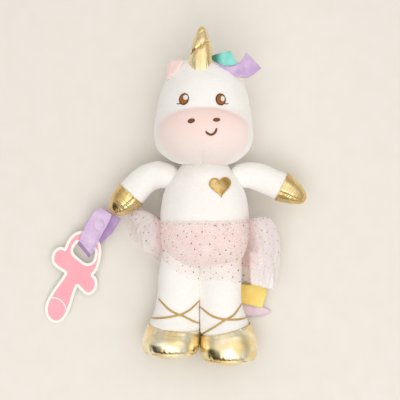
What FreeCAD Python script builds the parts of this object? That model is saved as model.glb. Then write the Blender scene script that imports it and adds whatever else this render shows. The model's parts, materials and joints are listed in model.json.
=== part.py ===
import FreeCAD, Part
import math
import os
import Sketcher

# Plush unicorn lying on its back. Millimetres. +Y runs to the horn, +Z is the
# side the face is on, and the origin is on the back, where it rests.
os.makedirs("parts", exist_ok=True)
doc = FreeCAD.newDocument("PlushUnicorn")
sheet = doc.addObject("Spreadsheet::Sheet", "dims")
V = FreeCAD.Vector
rows = [0]
known = {}


def cell(name, value):
    rows[0] += 1
    sheet.set("A%d" % rows[0], name)
    sheet.set("B%d" % rows[0], "%.6g" % value)
    sheet.setAlias("B%d" % rows[0], name)
    known[name] = float("%.6g" % value)
    return "dims." + name


# ---------------------------------------------------------------- main sizes
cell("skin_thick", 1.6)            # plush fabric of the head, trunk and limbs
cell("foil_thick", 0.9)            # gold foil cloth
cell("thread_high", 0.5)           # how far embroidery stands out
cell("cord_high", 1.0)             # how far the gold laces stand out
cell("ribbon_thick", 0.6)
cell("strap_wide", 15.0)
cell("board_thick", 1.5)           # the hanging card's white board
cell("print_thick", 0.12)          # the card's pink face
cell("tulle_thick", 0.4)
cell("neck_radius", 27.0)
cell("neck_x", 1.0)
cell("neck_y", 14.0)
cell("neck_z", 28.0)
cell("head_clear", 0.5)
cell("shoulder_radius", 11.0)
cell("shoulder_clear", 1.2)
cell("hip_x", 1.0)
cell("hip_y", -36.0)
cell("hip_z", 29.4)
cell("hip_clear", 0.5)
cell("leg_ball", 16.4)
cell("leg_ball_y", -50.0)
cell("leg_ball_z", 26.0)
cell("leg_clear", 0.5)
cell("seam_height", 28.0)          # height of the trunk's side seams
cell("head_seam_height", 36.0)

# Cross-sections, one row each. Trunk, head, legs and horn run along Y:
# (y, centre x, half width, half depth, centre z)
TABLES = {
    "trunk": [
        (38.5, 1, 10.0, 9.0, 28), (36.5, 1, 14.4, 12.8, 28), (33, 1, 18.6, 16.8, 28),
        (29, 1, 21.9, 19.5, 28), (25, 1, 24.2, 21.8, 28), (20, 1, 28.5, 24.0, 28),
        (13, 1, 32.8, 26.8, 28), (5, 1, 36.3, 28.8, 28), (-5, 1, 38.3, 29.4, 28.4),
        (-12, 1, 38.9, 28.6, 29.4), (-18, 1, 39.0, 27.8, 30.4), (-26, 1, 38.8, 27.7, 30.6), (-36, 1, 38.4, 27.6, 30.6),
    ],
    "head": [
        (122.4, 2.2, 13.0, 9.0, 36), (121.2, 2.2, 20.0, 14.5, 36), (119, 2.2, 25.5, 19.5, 36),
        (115, 2.0, 29.5, 24.0, 36), (109, 1.6, 32.2, 28.5, 36), (100, 0.8, 35.8, 32.8, 36),
        (90, 0.2, 38.8, 35.4, 36), (79, 0, 40.9, 37.0, 36), (67, 0, 42.7, 37.8, 36),
        (57, 0, 43.5, 37.8, 36), (48, 0, 42.0, 36.2, 36), (42, 0.2, 38.6, 33.2, 36),
        (37, 0.5, 32.5, 29.0, 36), (33, 1.0, 26.0, 24.5, 36), (31, 1.2, 22.0, 21.0, 36),
    ],
    "right_leg": [
        (-50, -20.8, 16.2, 16.1, 26), (-54, -21.0, 16.8, 16.2, 25.8), (-66, -21.9, 17.8, 16.0, 24.8),
        (-79, -22.4, 18.3, 15.8, 23.6), (-92, -23.3, 19.0, 15.8, 22.4), (-103, -24.8, 20.6, 16.8, 22),
        (-110, -26.3, 22.2, 19.0, 22.8), (-118, -27.8, 23.8, 22.0, 24), (-126, -28.8, 25.0, 24.8, 25.1),
        (-133, -28.8, 25.0, 24.9, 25.1), (-137, -28.6, 22.6, 22.5, 25.2), (-139.5, -28.4, 17.5, 17.4, 25.2),
    ],
    "left_leg": [
        (-50, 16.6, 16.2, 16.1, 26), (-54, 16.0, 17.6, 16.2, 25.8), (-70, 15.5, 18.2, 16.0, 24.6),
        (-88, 15.6, 18.3, 15.8, 23.0), (-101, 17.2, 19.9, 16.4, 22), (-107, 18.5, 21.2, 17.5, 22.3),
        (-112, 19.6, 22.3, 19.2, 23), (-120, 21.4, 24.0, 22.5, 23.8), (-130, 22.3, 24.8, 24.7, 24.9),
        (-139, 22.4, 24.8, 24.7, 24.9), (-143, 22.4, 22.4, 22.3, 24.9), (-145.3, 22.4, 17.5, 17.4, 24.9),
    ],
    "horn": [
        (108, -2.4, 10.8, 10.7, 50), (113, -2.3, 10.7, 10.6, 50), (119, -2.2, 10.3, 10.2, 50),
        (127, -2.0, 9.3, 9.2, 50), (136, -1.7, 7.3, 7.2, 50), (143, -1.5, 5.2, 5.1, 50),
        (147.5, -1.4, 3.5, 3.4, 50), (149.5, -1.3, 2.0, 1.9, 50),
    ],
}
# Arms: (x, y, z, half width, half depth, direction of the arm in degrees from +X)
ARMS = {
    "right_arm": [
        (-32, 21.5, 27, 10.9, 10.8, 177), (-39, 22.4, 27, 11.2, 10.3, 187), (-46.6, 20.6, 26.5, 12.4, 11.6, 206),
        (-54.6, 15.4, 26, 12.6, 11.5, 220), (-60, 9.8, 25.5, 13.0, 11.4, 226), (-63.8, 5.4, 25, 13.2, 11.3, 228),
        (-70, -0.9, 24, 12.8, 10.8, 226), (-75.5, -5.6, 23.2, 10.5, 9.0, 222), (-79.5, -8.8, 22.6, 7.0, 6.0, 220),
        (-81.8, -10.6, 22.3, 3.4, 2.8, 219),
    ],
    "left_arm": [
        (33.5, 21.5, 27, 10.9, 10.8, 3), (41, 22.0, 27, 11.0, 10.3, -8), (49, 20.0, 26.6, 12.2, 11.5, -19),
        (57, 16.8, 26.2, 12.4, 11.4, -24), (64, 13.9, 25.8, 12.5, 11.3, -24), (68.6, 11.8, 25.5, 12.7, 11.2, -26),
        (76, 8.0, 25, 12.0, 10.4, -28), (83, 4.0, 24.4, 9.5, 8.4, -30), (87.5, 1.2, 24, 6.2, 5.4, -31),
        (90, -0.4, 23.8, 3.0, 2.5, -31),
    ],
}
CUFF = 5                          # the arm section that the hoof starts at
# Seat: circles round the hip line, (x from the hip line's middle, radius)
SEAT = [(-38.5, 14.5), (-36.5, 18.5), (-32, 22.2), (-24, 25.0), (-12, 25.9), (0, 26.0),
        (12, 25.9), (24, 25.0), (32, 22.2), (36.5, 18.5), (38.5, 14.5)]
for kind, table in TABLES.items():
    for i, line in enumerate(table):
        for what, value in zip(("along", "middle", "wide", "deep", "level"), line):
            cell("%s_%s_%d" % (kind, what, i), value)
for kind, table in ARMS.items():
    for i, line in enumerate(table):
        for what, value in zip(("x_at", "y_at", "z_at", "wide", "deep", "heading"), line):
            cell("%s_%s_%d" % (kind, what, i), value)
for i, (at, radius) in enumerate(SEAT):
    cell("seat_at_%d" % i, at)
    cell("seat_radius_%d" % i, radius)
for name, value in {
    "muzzle_x": 0.3, "muzzle_y": 53.5, "muzzle_z": 42.0, "muzzle_wide": 43.2, "muzzle_tall": 26.0,
    "muzzle_deep": 40.0, "pink_y": 46.0, "pink_wide": 43.0, "pink_tall": 32.6,
    "eye_wide": 3.6, "eye_tall": 4.5, "glint_wide": 1.5, "nostril_wide": 3.2, "nostril_tall": 1.9,
    "smile_radius": 5.0, "smile_width": 1.3, "heart_scale": 0.96,
    "lace_width": 1.6, "snap_radius": 4.5, "horn_thread_width": 0.9,
    "ear_wide": 8.5, "ear_tall": 11.0, "ear_deep": 3.6, "ear_pink_wide": 6.4, "ear_pink_tall": 8.6,
    "label_wide": 22.0, "label_tall": 48.0, "label_thick": 0.4,
}.items():
    cell(name, value)
doc.recompute()
D = known


def obj(kind, name, **bound):
    o = doc.addObject(kind, name)
    for k, v in bound.items():
        if isinstance(v, str):
            o.setExpression(k, v)
        else:
            setattr(o, k, v)
    return o


def place(o, x, y, z, rotation=None):
    """Sets a placement; numbers are fixed and text is an expression."""
    here = [x, y, z]
    o.Placement = FreeCAD.Placement(
        V(*[0 if isinstance(v, str) else v for v in here]), rotation or FreeCAD.Rotation()
    )
    for axis, v in zip("xyz", here):
        if isinstance(v, str):
            o.setExpression("Placement.Base." + axis, v)
    return o


def turn(axis, degrees):
    return FreeCAD.Rotation(V(*axis), degrees)


def cut(name, base, tool):
    return obj("Part::Cut", name, Base=base, Tool=tool)


def common(name, *shapes):
    return obj("Part::MultiCommon", name, Shapes=list(shapes))


def fuse(name, *shapes):
    return obj("Part::MultiFuse", name, Shapes=list(shapes))


def box(name, low, high, rotation=None, centre=None):
    o = obj("Part::Box", name, Length=high[0] - low[0], Width=high[1] - low[1], Height=high[2] - low[2])
    o.Placement = FreeCAD.Placement(V(*low), FreeCAD.Rotation())
    if rotation is not None:
        o.Placement = FreeCAD.Placement(V(), rotation, V(*centre)).multiply(o.Placement)
    return o


def ball(name, x, y, z, radius):
    return place(obj("Part::Sphere", name, Radius=radius), x, y, z)


def grow(by):
    """' - skin' or ' + thread' for an expression; by is '' for none."""
    return (" " + by) if by else ""


def loft_y(name, kind, by="", first=0, last=None, end=0.0):
    """A loft through a table's sections. by is added to the radii, and end is
    how far the two end sections are moved towards the middle."""
    rings, table = [], TABLES[kind]
    numbers = list(range(len(table)))[first:last]
    for i in numbers:
        a = lambda what: "dims.%s_%s_%d" % (kind, what, i)
        e = obj("Part::Ellipse", "%s_ring_%d" % (name, i),
                MajorRadius=a("wide") + grow(by), MinorRadius=a("deep") + grow(by))
        shift = end * (-1 if table[i][0] > table[numbers[len(numbers) // 2]][0] else 1) \
            if i in (numbers[0], numbers[-1]) else 0
        place(e, a("middle"), a("along") + (" + %g" % shift if shift else ""), a("level"), turn((1, 0, 0), 90))
        rings.append(e)
    return obj("Part::Loft", name, Sections=rings, Solid=True, Ruled=False)


def loft_arm(name, kind, by="", last=None, end=0.0):
    rings, table = [], ARMS[kind]
    for i in list(range(len(table)))[:last]:
        a = lambda what: "dims.%s_%s_%d" % (kind, what, i)
        e = obj("Part::Ellipse", "%s_ring_%d" % (name, i),
                MajorRadius=a("wide") + grow(by), MinorRadius=a("deep") + grow(by))
        heading = table[i][5]
        back = end if i == len(table) - 1 else 0
        dx, dy = math.cos(math.radians(heading)) * back, math.sin(math.radians(heading)) * back
        place(e, a("x_at") + " - %g" % dx if dx else a("x_at"), a("y_at") + " - %g" % dy if dy else a("y_at"),
              a("z_at"), turn((0, 0, 1), heading + 90).multiply(turn((1, 0, 0), 90)))
        rings.append(e)
    return obj("Part::Loft", name, Sections=rings, Solid=True, Ruled=False)


def node(o, label):
    o.Label = label
    nodes.append(o)
    return o


nodes = []
BIG = 400
floor_box = box("below_floor", (-BIG, -BIG, -100), (BIG, BIG, 0))
SKIN, FOIL = "- dims.skin_thick", "- dims.foil_thick"


def clip_floor(name, o):
    return cut(name, o, floor_box)


# ---------------------------------------------------------------- seat
def seat_loft(name, by):
    rings = []
    for i, (at, _) in enumerate(SEAT):
        c = obj("Part::Circle", "%s_ring_%d" % (name, i), Radius="dims.seat_radius_%d%s" % (i, grow(by)))
        extra = 0
        if by and i in (0, len(SEAT) - 1):
            extra = (known["hip_clear"] if "+" in by else -known["skin_thick"]) * (1 if i else -1)
        place(c, "dims.hip_x + dims.seat_at_%d%s" % (i, " + %g" % extra if extra else ""), "dims.hip_y", "dims.hip_z",
              turn((0, 1, 0), 90))
        rings.append(c)
    return obj("Part::Loft", name, Sections=rings, Solid=True, Ruled=False)


seat_outer = seat_loft("seat_outer", "")
seat_inner = seat_loft("seat_inner", SKIN)
seat_space = seat_loft("seat_space", "+ dims.hip_clear")
seat_end = box("seat_end", (-BIG, -BIG, -50), (BIG, -46, 200))
sockets = fuse(
    "leg_sockets",
    ball("right_leg_socket", "dims.right_leg_middle_0", "dims.leg_ball_y", "dims.leg_ball_z", "dims.leg_ball + dims.leg_clear"),
    ball("left_leg_socket", "dims.left_leg_middle_0", "dims.leg_ball_y", "dims.leg_ball_z", "dims.leg_ball + dims.leg_clear"),
)
seat_tools = fuse("seat_tools", seat_end, sockets)
seat_shell = cut("seat_shell", seat_outer, seat_inner)
node(cut("seat_skin_cut", seat_shell, seat_tools), "seat_panel")
node(cut("seat_fill_cut", seat_inner, seat_tools), "seat_stuffing")

# ---------------------------------------------------------------- trunk
trunk_outer = clip_floor("trunk_outer_flat", loft_y("trunk_outer", "trunk"))
trunk_inner_raw = loft_y("trunk_inner", "trunk", SKIN, end=1.6)
trunk_floor = box("trunk_inner_floor", (-BIG, -BIG, -100), (BIG, BIG, 1.4))
trunk_inner = cut("trunk_inner_flat", trunk_inner_raw, trunk_floor)
trunk_plus = loft_y("trunk_plus", "trunk", "+ dims.thread_high")
right_shoulder = ball("right_shoulder_space", "dims.right_arm_x_at_0", "dims.right_arm_y_at_0", "dims.right_arm_z_at_0",
                      "dims.shoulder_radius + dims.shoulder_clear")
left_shoulder = ball("left_shoulder_space", "dims.left_arm_x_at_0", "dims.left_arm_y_at_0", "dims.left_arm_z_at_0",
                     "dims.shoulder_radius + dims.shoulder_clear")
front_end = box("trunk_front_end", (-BIG, -BIG, 24), (BIG, -16.5, 200))
back_end = box("trunk_back_end", (-BIG, -BIG, -50), (BIG, -30, 200))
trunk_tools = fuse("trunk_tools", seat_space, front_end, back_end, right_shoulder, left_shoulder)
trunk_shell = cut("trunk_shell", cut("trunk_shell_whole", trunk_outer, trunk_inner), trunk_tools)
above_seam = box("above_seam", (-BIG, -BIG, 28), (BIG, BIG, 200))
above_seam.setExpression("Placement.Base.z", "dims.seam_height")
node(common("trunk_front", trunk_shell, above_seam), "trunk_front_panel")
node(cut("trunk_back", trunk_shell, above_seam), "trunk_back_panel")
node(cut("trunk_fill", trunk_inner, trunk_tools), "trunk_stuffing")


# the chest heart, a gold foil patch
def sketch_body(name, build, length, plane="XY_Plane"):
    """A body with one sketch and one pad. build(sketch) draws it."""
    body = doc.addObject("PartDesign::Body", name)
    sk = body.newObject("Sketcher::SketchObject", name + "_outline")
    base = [f for f in body.Origin.OriginFeatures if f.Role == plane][0]
    sk.AttachmentSupport = (base, [""])
    sk.MapMode = "FlatFace"
    build(sk)
    pad = body.newObject("PartDesign::Pad", name + "_pad")
    pad.Profile = sk
    if isinstance(length, str):
        pad.setExpression("Length", length)
    else:
        pad.Length = length
    sk.Visibility = False
    return body


def arc(cx, cy, r, start, stop):
    return Part.ArcOfCircle(Part.Circle(V(cx, cy, 0), V(0, 0, 1), r), math.radians(start), math.radians(stop))


def line(a, b):
    return Part.LineSegment(V(a[0], a[1], 0), V(b[0], b[1], 0))


def polygon(points):
    def build(sk):
        for a, b in zip(points, points[1:] + points[:1]):
            sk.addGeometry(line(a, b), False)
    return build


def heart(sk):
    k = known["heart_scale"]
    cx, cy, r, low = 4.5 * k, 3.0 * k, 5.1 * k, -9.3 * k
    reach = math.hypot(cx, cy - low)
    at = math.atan2(cy - low, cx) - math.asin(r / reach)
    run = math.sqrt(reach * reach - r * r)
    tx, ty = run * math.cos(at), low + run * math.sin(at)
    first = math.degrees(math.atan2(ty - cy, tx - cx))
    notch_y = cy + math.sqrt(r * r - cx * cx)
    last = math.degrees(math.atan2(notch_y - cy, -cx))
    sk.addGeometry(line((0, low), (tx, ty)), False)
    sk.addGeometry(arc(cx, cy, r, first, last), False)
    sk.addGeometry(arc(-cx, cy, r, 180 - last, 180 - first), False)
    sk.addGeometry(line((-tx, ty), (0, low)), False)


heart_prism = sketch_body("heart_prism", heart, 60.0)
heart_prism.Placement = FreeCAD.Placement(V(14.5, 11.2, 30), turn((0, 0, 1), 5))
node(cut("heart_patch", common("heart_slab", heart_prism, trunk_plus), trunk_outer), "chest_heart")


# the tutu: two bells of tulle, trimmed to the slanted hem
def bell(name, out, hem):
    rings = []
    for i, (y, a, b) in enumerate([(-17.2, 41.5, 29.0), (-19.5, 50, 29.2), (-24, 59, 29.3), (-34, 64.5, 29.3),
                                   (-50, 66, 29.3), (-80, 66, 29.3)]):
        e = obj("Part::Ellipse", "%s_ring_%d" % (name, i), MajorRadius=a + out, MinorRadius=b + out)
        place(e, 1.5, y, 30, turn((1, 0, 0), 90))
        rings.append(e)
    return obj("Part::Loft", name, Sections=rings, Solid=True, Ruled=False)


outer_hem = [(-80, -12), (-61.5, -19), (-56, -33), (-46, -44), (-37, -51), (-29, -56.5), (-20, -64), (-10, -67.5), (10, -69),
             (40, -70), (55, -75.5), (62, -77), (75, -77), (75, 0), (-80, 0)]
inner_hem = [(-80, -12), (-60, -17), (-52, -30), (-42, -40), (-33, -46), (-22, -52), (-10, -56), (10, -58), (40, -58),
             (58, -60), (75, -60), (75, 0), (-80, 0)]
for name, out, hem in (("tutu_outer_layer", -0.1, outer_hem), ("tutu_inner_layer", -0.9, inner_hem)):
    shell = cut(name + "_shell", bell(name + "_out", out, hem), bell(name + "_in", out - known["tulle_thick"], hem))
    trim = sketch_body(name + "_trim", polygon(hem), 90.0)
    trim.Placement = FreeCAD.Placement(V(0, 0, -10), FreeCAD.Rotation())
    node(common(name + "_cut", shell, trim), name)

# the blank care label in the side seam
label = obj("Part::Box", "label_slab", Length="dims.label_wide", Width="dims.label_tall", Height="dims.label_thick")
label.Placement = FreeCAD.Placement(V(40.2, -30.5, 27), turn((0, 0, 1), 1)).multiply(
    FreeCAD.Placement(V(0, -48, 0), FreeCAD.Rotation()))
node(label, "care_label")

# ---------------------------------------------------------------- head
head_raw = loft_y("head_raw", "head")
head_outer = clip_floor("head_outer", head_raw)
head_inner = cut("head_inner_flat", loft_y("head_inner", "head", SKIN, end=1.6),
                 box("head_inner_floor", (-BIG, -BIG, -100), (BIG, BIG, 1.4)))
head_plus = loft_y("head_plus", "head", "+ dims.thread_high", end=-0.5)


def muzzle(name, by):
    e = obj("Part::Ellipsoid", name)
    e.Angle1, e.Angle2, e.Angle3 = -90, 90, 360
    e.setExpression("Radius2", "dims.muzzle_wide" + grow(by))
    e.setExpression("Radius3", "dims.muzzle_tall" + grow(by))
    e.setExpression("Radius1", "dims.muzzle_deep" + grow(by))
    place(e, "dims.muzzle_x", "dims.muzzle_y", "dims.muzzle_z")
    return e


under_chin = box("under_chin", (-BIG, -BIG, -50), (BIG, 31, 200))
muzzle_outer = cut("muzzle_outer_cut", muzzle("muzzle_outer", ""), under_chin)
muzzle_inner = cut("muzzle_inner_cut", muzzle("muzzle_inner", SKIN), box("under_chin_inner", (-BIG, -BIG, -50), (BIG, 32.6, 200)))
muzzle_plus = muzzle("muzzle_plus", "+ dims.thread_high")
neck_space = ball("neck_space", "dims.neck_x", "dims.neck_y", "dims.neck_z", "dims.neck_radius + dims.head_clear")
head_whole = cut("head_whole", fuse("head_and_muzzle", head_outer, muzzle_outer), neck_space)
head_fill = cut("head_fill", fuse("head_fill_whole", head_inner, muzzle_inner), neck_space)
head_shell = cut("head_shell", head_whole, head_fill)
pink_edge = obj("Part::Ellipse", "pink_edge", MajorRadius="dims.pink_wide", MinorRadius="dims.pink_tall")
place(pink_edge, "dims.muzzle_x", "dims.pink_y", "dims.head_seam_height")
pink_prism = obj("Part::Extrusion", "pink_prism", Base=pink_edge, Dir=V(0, 0, 1), Solid=True, LengthFwd=80.0)
pink_prism.DirMode = "Custom"
above_head_seam = box("above_head_seam", (-BIG, -BIG, 36), (BIG, BIG, 200))
above_head_seam.setExpression("Placement.Base.z", "dims.head_seam_height")
node(common("muzzle_cut", head_shell, pink_prism), "muzzle_panel")
node(cut("head_front", common("head_upper", head_shell, above_head_seam), pink_prism), "head_front_panel")
node(cut("head_back", head_shell, above_head_seam), "head_back_panel")
node(head_fill, "head_stuffing")


# face: thread patches that follow the surface
def patch(name, prism, plus, under):
    return node(cut(name + "_cut", common(name + "_slab", prism, plus), under), name)


def oval(name, x, y, wide, tall, degrees=0.0, z=52.0):
    """An upright oval prism; wide and tall are expressions, the larger first."""
    e = obj("Part::Ellipse", name + "_oval", MajorRadius=wide, MinorRadius=tall)
    place(e, x, y, z, turn((0, 0, 1), degrees))
    p = obj("Part::Extrusion", name + "_prism", Base=e, Dir=V(0, 0, 1), Solid=True, LengthFwd=40.0)
    p.DirMode = "Custom"
    return p


for side, ex, gx, lean in (("right", -16.6, -15.0, 78), ("left", 13.9, 15.5, 102)):
    eye = oval(side + "_eye", ex, 86.5, "dims.eye_tall", "dims.eye_wide", lean)
    glint = oval(side + "_eye_glint", gx, 88.0, "dims.glint_wide", "dims.glint_wide * 0.95")
    patch(side + "_eye", cut(side + "_eye_ring", eye, glint), head_plus, head_outer)
    patch(side + "_eye_glint", glint, head_plus, head_outer)
    out = -1 if side == "right" else 1
    lash = box(side + "_lash_box", (ex + out * 5.2 - 1.4, 82.6, 52), (ex + out * 5.2 + 1.4, 83.3, 90),
               turn((0, 0, 1), 20 * out * -1), (ex + out * 5.2, 83, 60))
    patch(side + "_eyelash", lash, head_plus, head_outer)
face_under = fuse("face_under", head_outer, muzzle_outer)
patch("right_nostril", oval("right_nostril", -10.7, 67.5, "dims.nostril_wide", "dims.nostril_tall", 22, 60.0), muzzle_plus, face_under)
patch("left_nostril", oval("left_nostril", 10.4, 68.3, "dims.nostril_wide", "dims.nostril_tall", 8, 60.0), muzzle_plus, face_under)
smile_out = obj("Part::Cylinder", "smile_out", Radius="dims.smile_radius + dims.smile_width / 2", Height=40.0, Angle=160.0)
smile_out.Placement = FreeCAD.Placement(V(6.3, 60.6, 55), turn((0, 0, 1), 208))
smile_in = obj("Part::Cylinder", "smile_in", Radius="dims.smile_radius - dims.smile_width / 2", Height=60.0)
smile_in.Placement = FreeCAD.Placement(V(6.3, 60.6, 45), FreeCAD.Rotation())
patch("smile", cut("smile_prism", smile_out, smile_in), muzzle_plus, face_under)


# ears: flat pads folded onto the head's top corners, pink side out
for side, x, lean in (("right", -24.5, 38), ("left", 28.5, -38)):
    tilt = turn((0, 0, 1), lean).multiply(turn((1, 0, 0), -34))
    white = obj("Part::Ellipsoid", side + "_ear_pad")
    pink = obj("Part::Ellipsoid", side + "_ear_pink_pad")
    for e, a, b, c in ((white, "dims.ear_deep", "dims.ear_wide", "dims.ear_tall"),
                       (pink, "dims.ear_deep", "dims.ear_pink_wide", "dims.ear_pink_tall")):
        e.Angle1, e.Angle2, e.Angle3 = -90, 90, 360
        e.setExpression("Radius1", a)
        e.setExpression("Radius2", b)
        e.setExpression("Radius3", c)
    white.Placement = FreeCAD.Placement(V(x, 111.5, 50.5), tilt)
    lift = tilt.multVec(V(0, 0, 1.2))
    pink.Placement = FreeCAD.Placement(V(x, 111.5, 50.5) + lift, tilt)
    white_cut = cut(side + "_ear_white", white, head_outer)
    node(white_cut, side + "_ear_outer")
    node(cut(side + "_ear_pink", cut(side + "_ear_pink_whole", pink, head_outer), white), side + "_ear_lining")

# horn
horn_outer = cut("horn_outer_cut", loft_y("horn_outer", "horn"), head_raw)
horn_inner = cut("horn_inner_cut", loft_y("horn_inner", "horn", FOIL, end=0.9), head_raw)
node(cut("horn_skin", horn_outer, horn_inner), "horn_foil_cover")
node(horn_inner, "horn_stuffing")
slab = box("horn_thread_slab", (-30, 131, 20), (30, 131.9, 80), turn((0, 0, 1), 34), (-2, 131.4, 50))
horn_plus = loft_y("horn_plus", "horn", "+ dims.cord_high / 2")
node(cut("horn_thread_cut", common("horn_thread_slice", slab, horn_plus), loft_y("horn_outer_again", "horn")), "horn_spiral_thread")


# mane ribbons
def flat_piece(label, points, z, tilt=None, thick="dims.ribbon_thick", about=(0, 0)):
    b = sketch_body(label + "_body", polygon([(p[0] - about[0], p[1] - about[1]) for p in points]), thick)
    b.Placement = FreeCAD.Placement(V(about[0], about[1], z), tilt or FreeCAD.Rotation())
    return node(b, label)


flat_piece("mane_ribbon_teal", [(10.2, 124.4), (15, 126.3), (22.7, 128), (25.3, 124.6), (28.7, 116.9), (22.7, 115.1), (15.8, 116.9),
                                (11, 119.6)], 62.6, turn((0, 1, 0), 4), about=(10.2, 120))
flat_piece("mane_ribbon_lilac", [(16.5, 121.5), (23.6, 113.5), (21, 111.8), (29.6, 106.6), (38.2, 105.8), (45.1, 108.4), (49.4, 113.5),
                                 (36.5, 126.4), (33.9, 122.1), (31.3, 119), (25, 120)], 61.4, turn((0, 1, 0), 9), about=(16.5, 118))

# ---------------------------------------------------------------- arms
for side, outward in (("right", -1), ("left", 1)):
    kind = side + "_arm"
    at = "dims.%s_" % kind
    root = ball(kind + "_root", at + "x_at_0", at + "y_at_0", at + "z_at_0", "dims.shoulder_radius")
    root_in = ball(kind + "_root_in", at + "x_at_0", at + "y_at_0", at + "z_at_0", "dims.shoulder_radius - dims.skin_thick")
    for o in (root, root_in):
        o.Placement = FreeCAD.Placement(o.Placement.Base, turn((0, 0, 1), 0 if outward < 0 else 180))
    outer = fuse(kind + "_outer", loft_arm(kind + "_loft", kind), root)
    inner = fuse(kind + "_inner", loft_arm(kind + "_loft_in", kind, SKIN, end=1.2), root_in)
    x, y, z, _, _, heading = ARMS[kind][CUFF]
    beyond = box(kind + "_beyond_cuff", (x, y - 60, z - 60), (x + 90, y + 60, z + 60), turn((0, 0, 1), heading), (x, y, z))
    shell = cut(kind + "_shell", outer, inner)
    node(cut(kind + "_sleeve_cut", shell, beyond), kind + "_sleeve")
    node(common(kind + "_hoof_cut", shell, beyond), side + "_hoof")
    node(inner, kind + "_stuffing")

# ---------------------------------------------------------------- legs
for side in ("right", "left"):
    kind = side + "_leg"
    at = "dims.%s_" % kind
    root = ball(kind + "_root", at + "middle_0", "dims.leg_ball_y", "dims.leg_ball_z", "dims.leg_ball")
    root_in = ball(kind + "_root_in", at + "middle_0", "dims.leg_ball_y", "dims.leg_ball_z", "dims.leg_ball - dims.skin_thick")
    outer_loft = loft_y(kind + "_loft", kind)
    outer = fuse(kind + "_outer", outer_loft, root)
    sole_y = TABLES[kind][-1][0] + 1.5
    inner = fuse(kind + "_inner", cut(kind + "_fill_end", loft_y(kind + "_loft_in", kind, SKIN),
                                      box(kind + "_sole_side", (-BIG, -BIG, -50), (BIG, sole_y, 200))), root_in)
    shell = cut(kind + "_shell", outer, inner)
    top_y, lean = (-111.5, -7) if side == "right" else (-114.0, 13)
    cx = TABLES[kind][6][1]
    below = box(kind + "_below_top", (-BIG, -BIG, -50), (BIG, top_y, 200), turn((0, 0, 1), lean), (cx, top_y, 20))
    sole_cut = box(kind + "_sole_cut", (-BIG, -BIG, -50), (BIG, sole_y, 200))
    node(cut(kind + "_sleeve_cut", shell, below), kind + "_sleeve")
    node(cut(kind + "_upper", common(kind + "_boot", shell, below), sole_cut), side + "_bootee_upper")
    node(common(kind + "_sole", shell, sole_cut), side + "_bootee_sole")
    node(inner, kind + "_stuffing")
    strips = []
    crossing = [((-41.5, -88.5), (-7, -108.9)), ((-46.5, -104.4), (-8, -86)), ] if side == "right" else \
        [((-1, -97), (39.5, -104.6)), ((1.5, -117), (33.5, -90.5))]
    for i, (a, b) in enumerate(crossing):
        long, way = math.hypot(b[0] - a[0], b[1] - a[1]), math.degrees(math.atan2(b[1] - a[1], b[0] - a[0]))
        s = obj("Part::Box", "%s_lace_%d" % (kind, i), Length=long, Width="dims.lace_width", Height=60.0)
        s.Placement = FreeCAD.Placement(V(a[0], a[1], 26.5), turn((0, 0, 1), way))
        strips.append(s)
    plus = loft_y(kind + "_plus", kind, "+ dims.cord_high")
    laces = fuse(kind + "_lace_pair", *strips)
    above_boot = cut(kind + "_lace_clear", common(kind + "_lace_slice", laces, plus), outer_loft)
    node(above_boot, side + "_leg_laces")

# ---------------------------------------------------------------- strap
# The strap runs along a sloping line from the right hoof to the card's bar.
# u runs along it towards the card, w across it, and lift is off its mid-plane.
FOOT = (-107.3, -43.9)            # where the strap's fold is
ALONG, ACROSS = (-0.511, -0.859), (0.859, -0.511)
BAR_LEVEL, SLOPE = 8.8, 0.27
cell("fold_radius", 2.7)
cell("strap_shift", 1.6)
doc.recompute()


def strap_point(u, w, lift):
    return V(FOOT[0] + u * ALONG[0] + w * ACROSS[0], FOOT[1] + u * ALONG[1] + w * ACROSS[1],
             BAR_LEVEL + (-8 - u) * SLOPE + lift)


def ribbon(label, stations, wide):
    """A thin band through stations (u, w, lift, slant of its thickness in degrees)."""
    half, t = wide / 2, known["ribbon_thick"] / 2
    wires = []
    for u, w, lift, slant in stations:
        c, s = math.cos(math.radians(slant)), math.sin(math.radians(slant))
        ps = [strap_point(u + s * q, w + e, lift + c * q) for e, q in ((-half, -t), (half, -t), (half, t), (-half, t))]
        wires.append(Part.makePolygon(ps + ps[:1]))
    o = doc.addObject("Part::Feature", label + "_band")
    o.Shape = Part.makeLoft(wires, True, True)
    return node(o, label)


R = known["fold_radius"]
shift = known["strap_shift"]
wide = known["strap_wide"]
fold = [(-1.5 + R * math.sin(math.radians(a)), shift, -R * math.cos(math.radians(a)), 180 - a) for a in range(0, 181, 20)]
rear = [(-40.5, 7.0, -1.6, 0), (-36, 7.0, -1.5, 0), (-26, 6.0, -1.5, 0), (-21.5, 5.3, -1.95, 0), (-17, 4.6, -2.85, 0),
        (-12, 3.4, -2.9, 0), (-8, 2.4, -R, 0)]
rear = [(u, w, lift, 180) for u, w, lift, _ in rear] + fold
ribbon("strap_rear_leaf", rear, wide)
front = [(-1.9, shift, R, 0), (-10, shift, R, 0), (-17, shift, 2.2, 0), (-22, shift, 1.75, 0), (-31, shift, 1.75, 0), (-36.5, shift, 2.3, 0)]
ribbon("strap_front_leaf", front, wide)
tip = turn((ACROSS[0], ACROSS[1], 0), math.degrees(math.atan(SLOPE)) * 1)
snap_at = (-26.4, 3.0)
base_disc = obj("Part::Cylinder", "snap_stud_disc", Radius="dims.snap_radius", Height=0.8)
pin = obj("Part::Cylinder", "snap_stud_pin", Radius=1.6, Height=1.9)
for o in (base_disc, pin):
    o.Placement = FreeCAD.Placement(strap_point(snap_at[0], snap_at[1], -1.15), tip)
node(fuse("snap_stud_whole", base_disc, pin), "snap_stud")
ring_disc = obj("Part::Cylinder", "snap_socket_disc", Radius="dims.snap_radius", Height=1.4)
hole = obj("Part::Cylinder", "snap_socket_hole", Radius=2.1, Height=2.0)
ring_disc.Placement = FreeCAD.Placement(strap_point(snap_at[0], snap_at[1], 0.0), tip)
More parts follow.
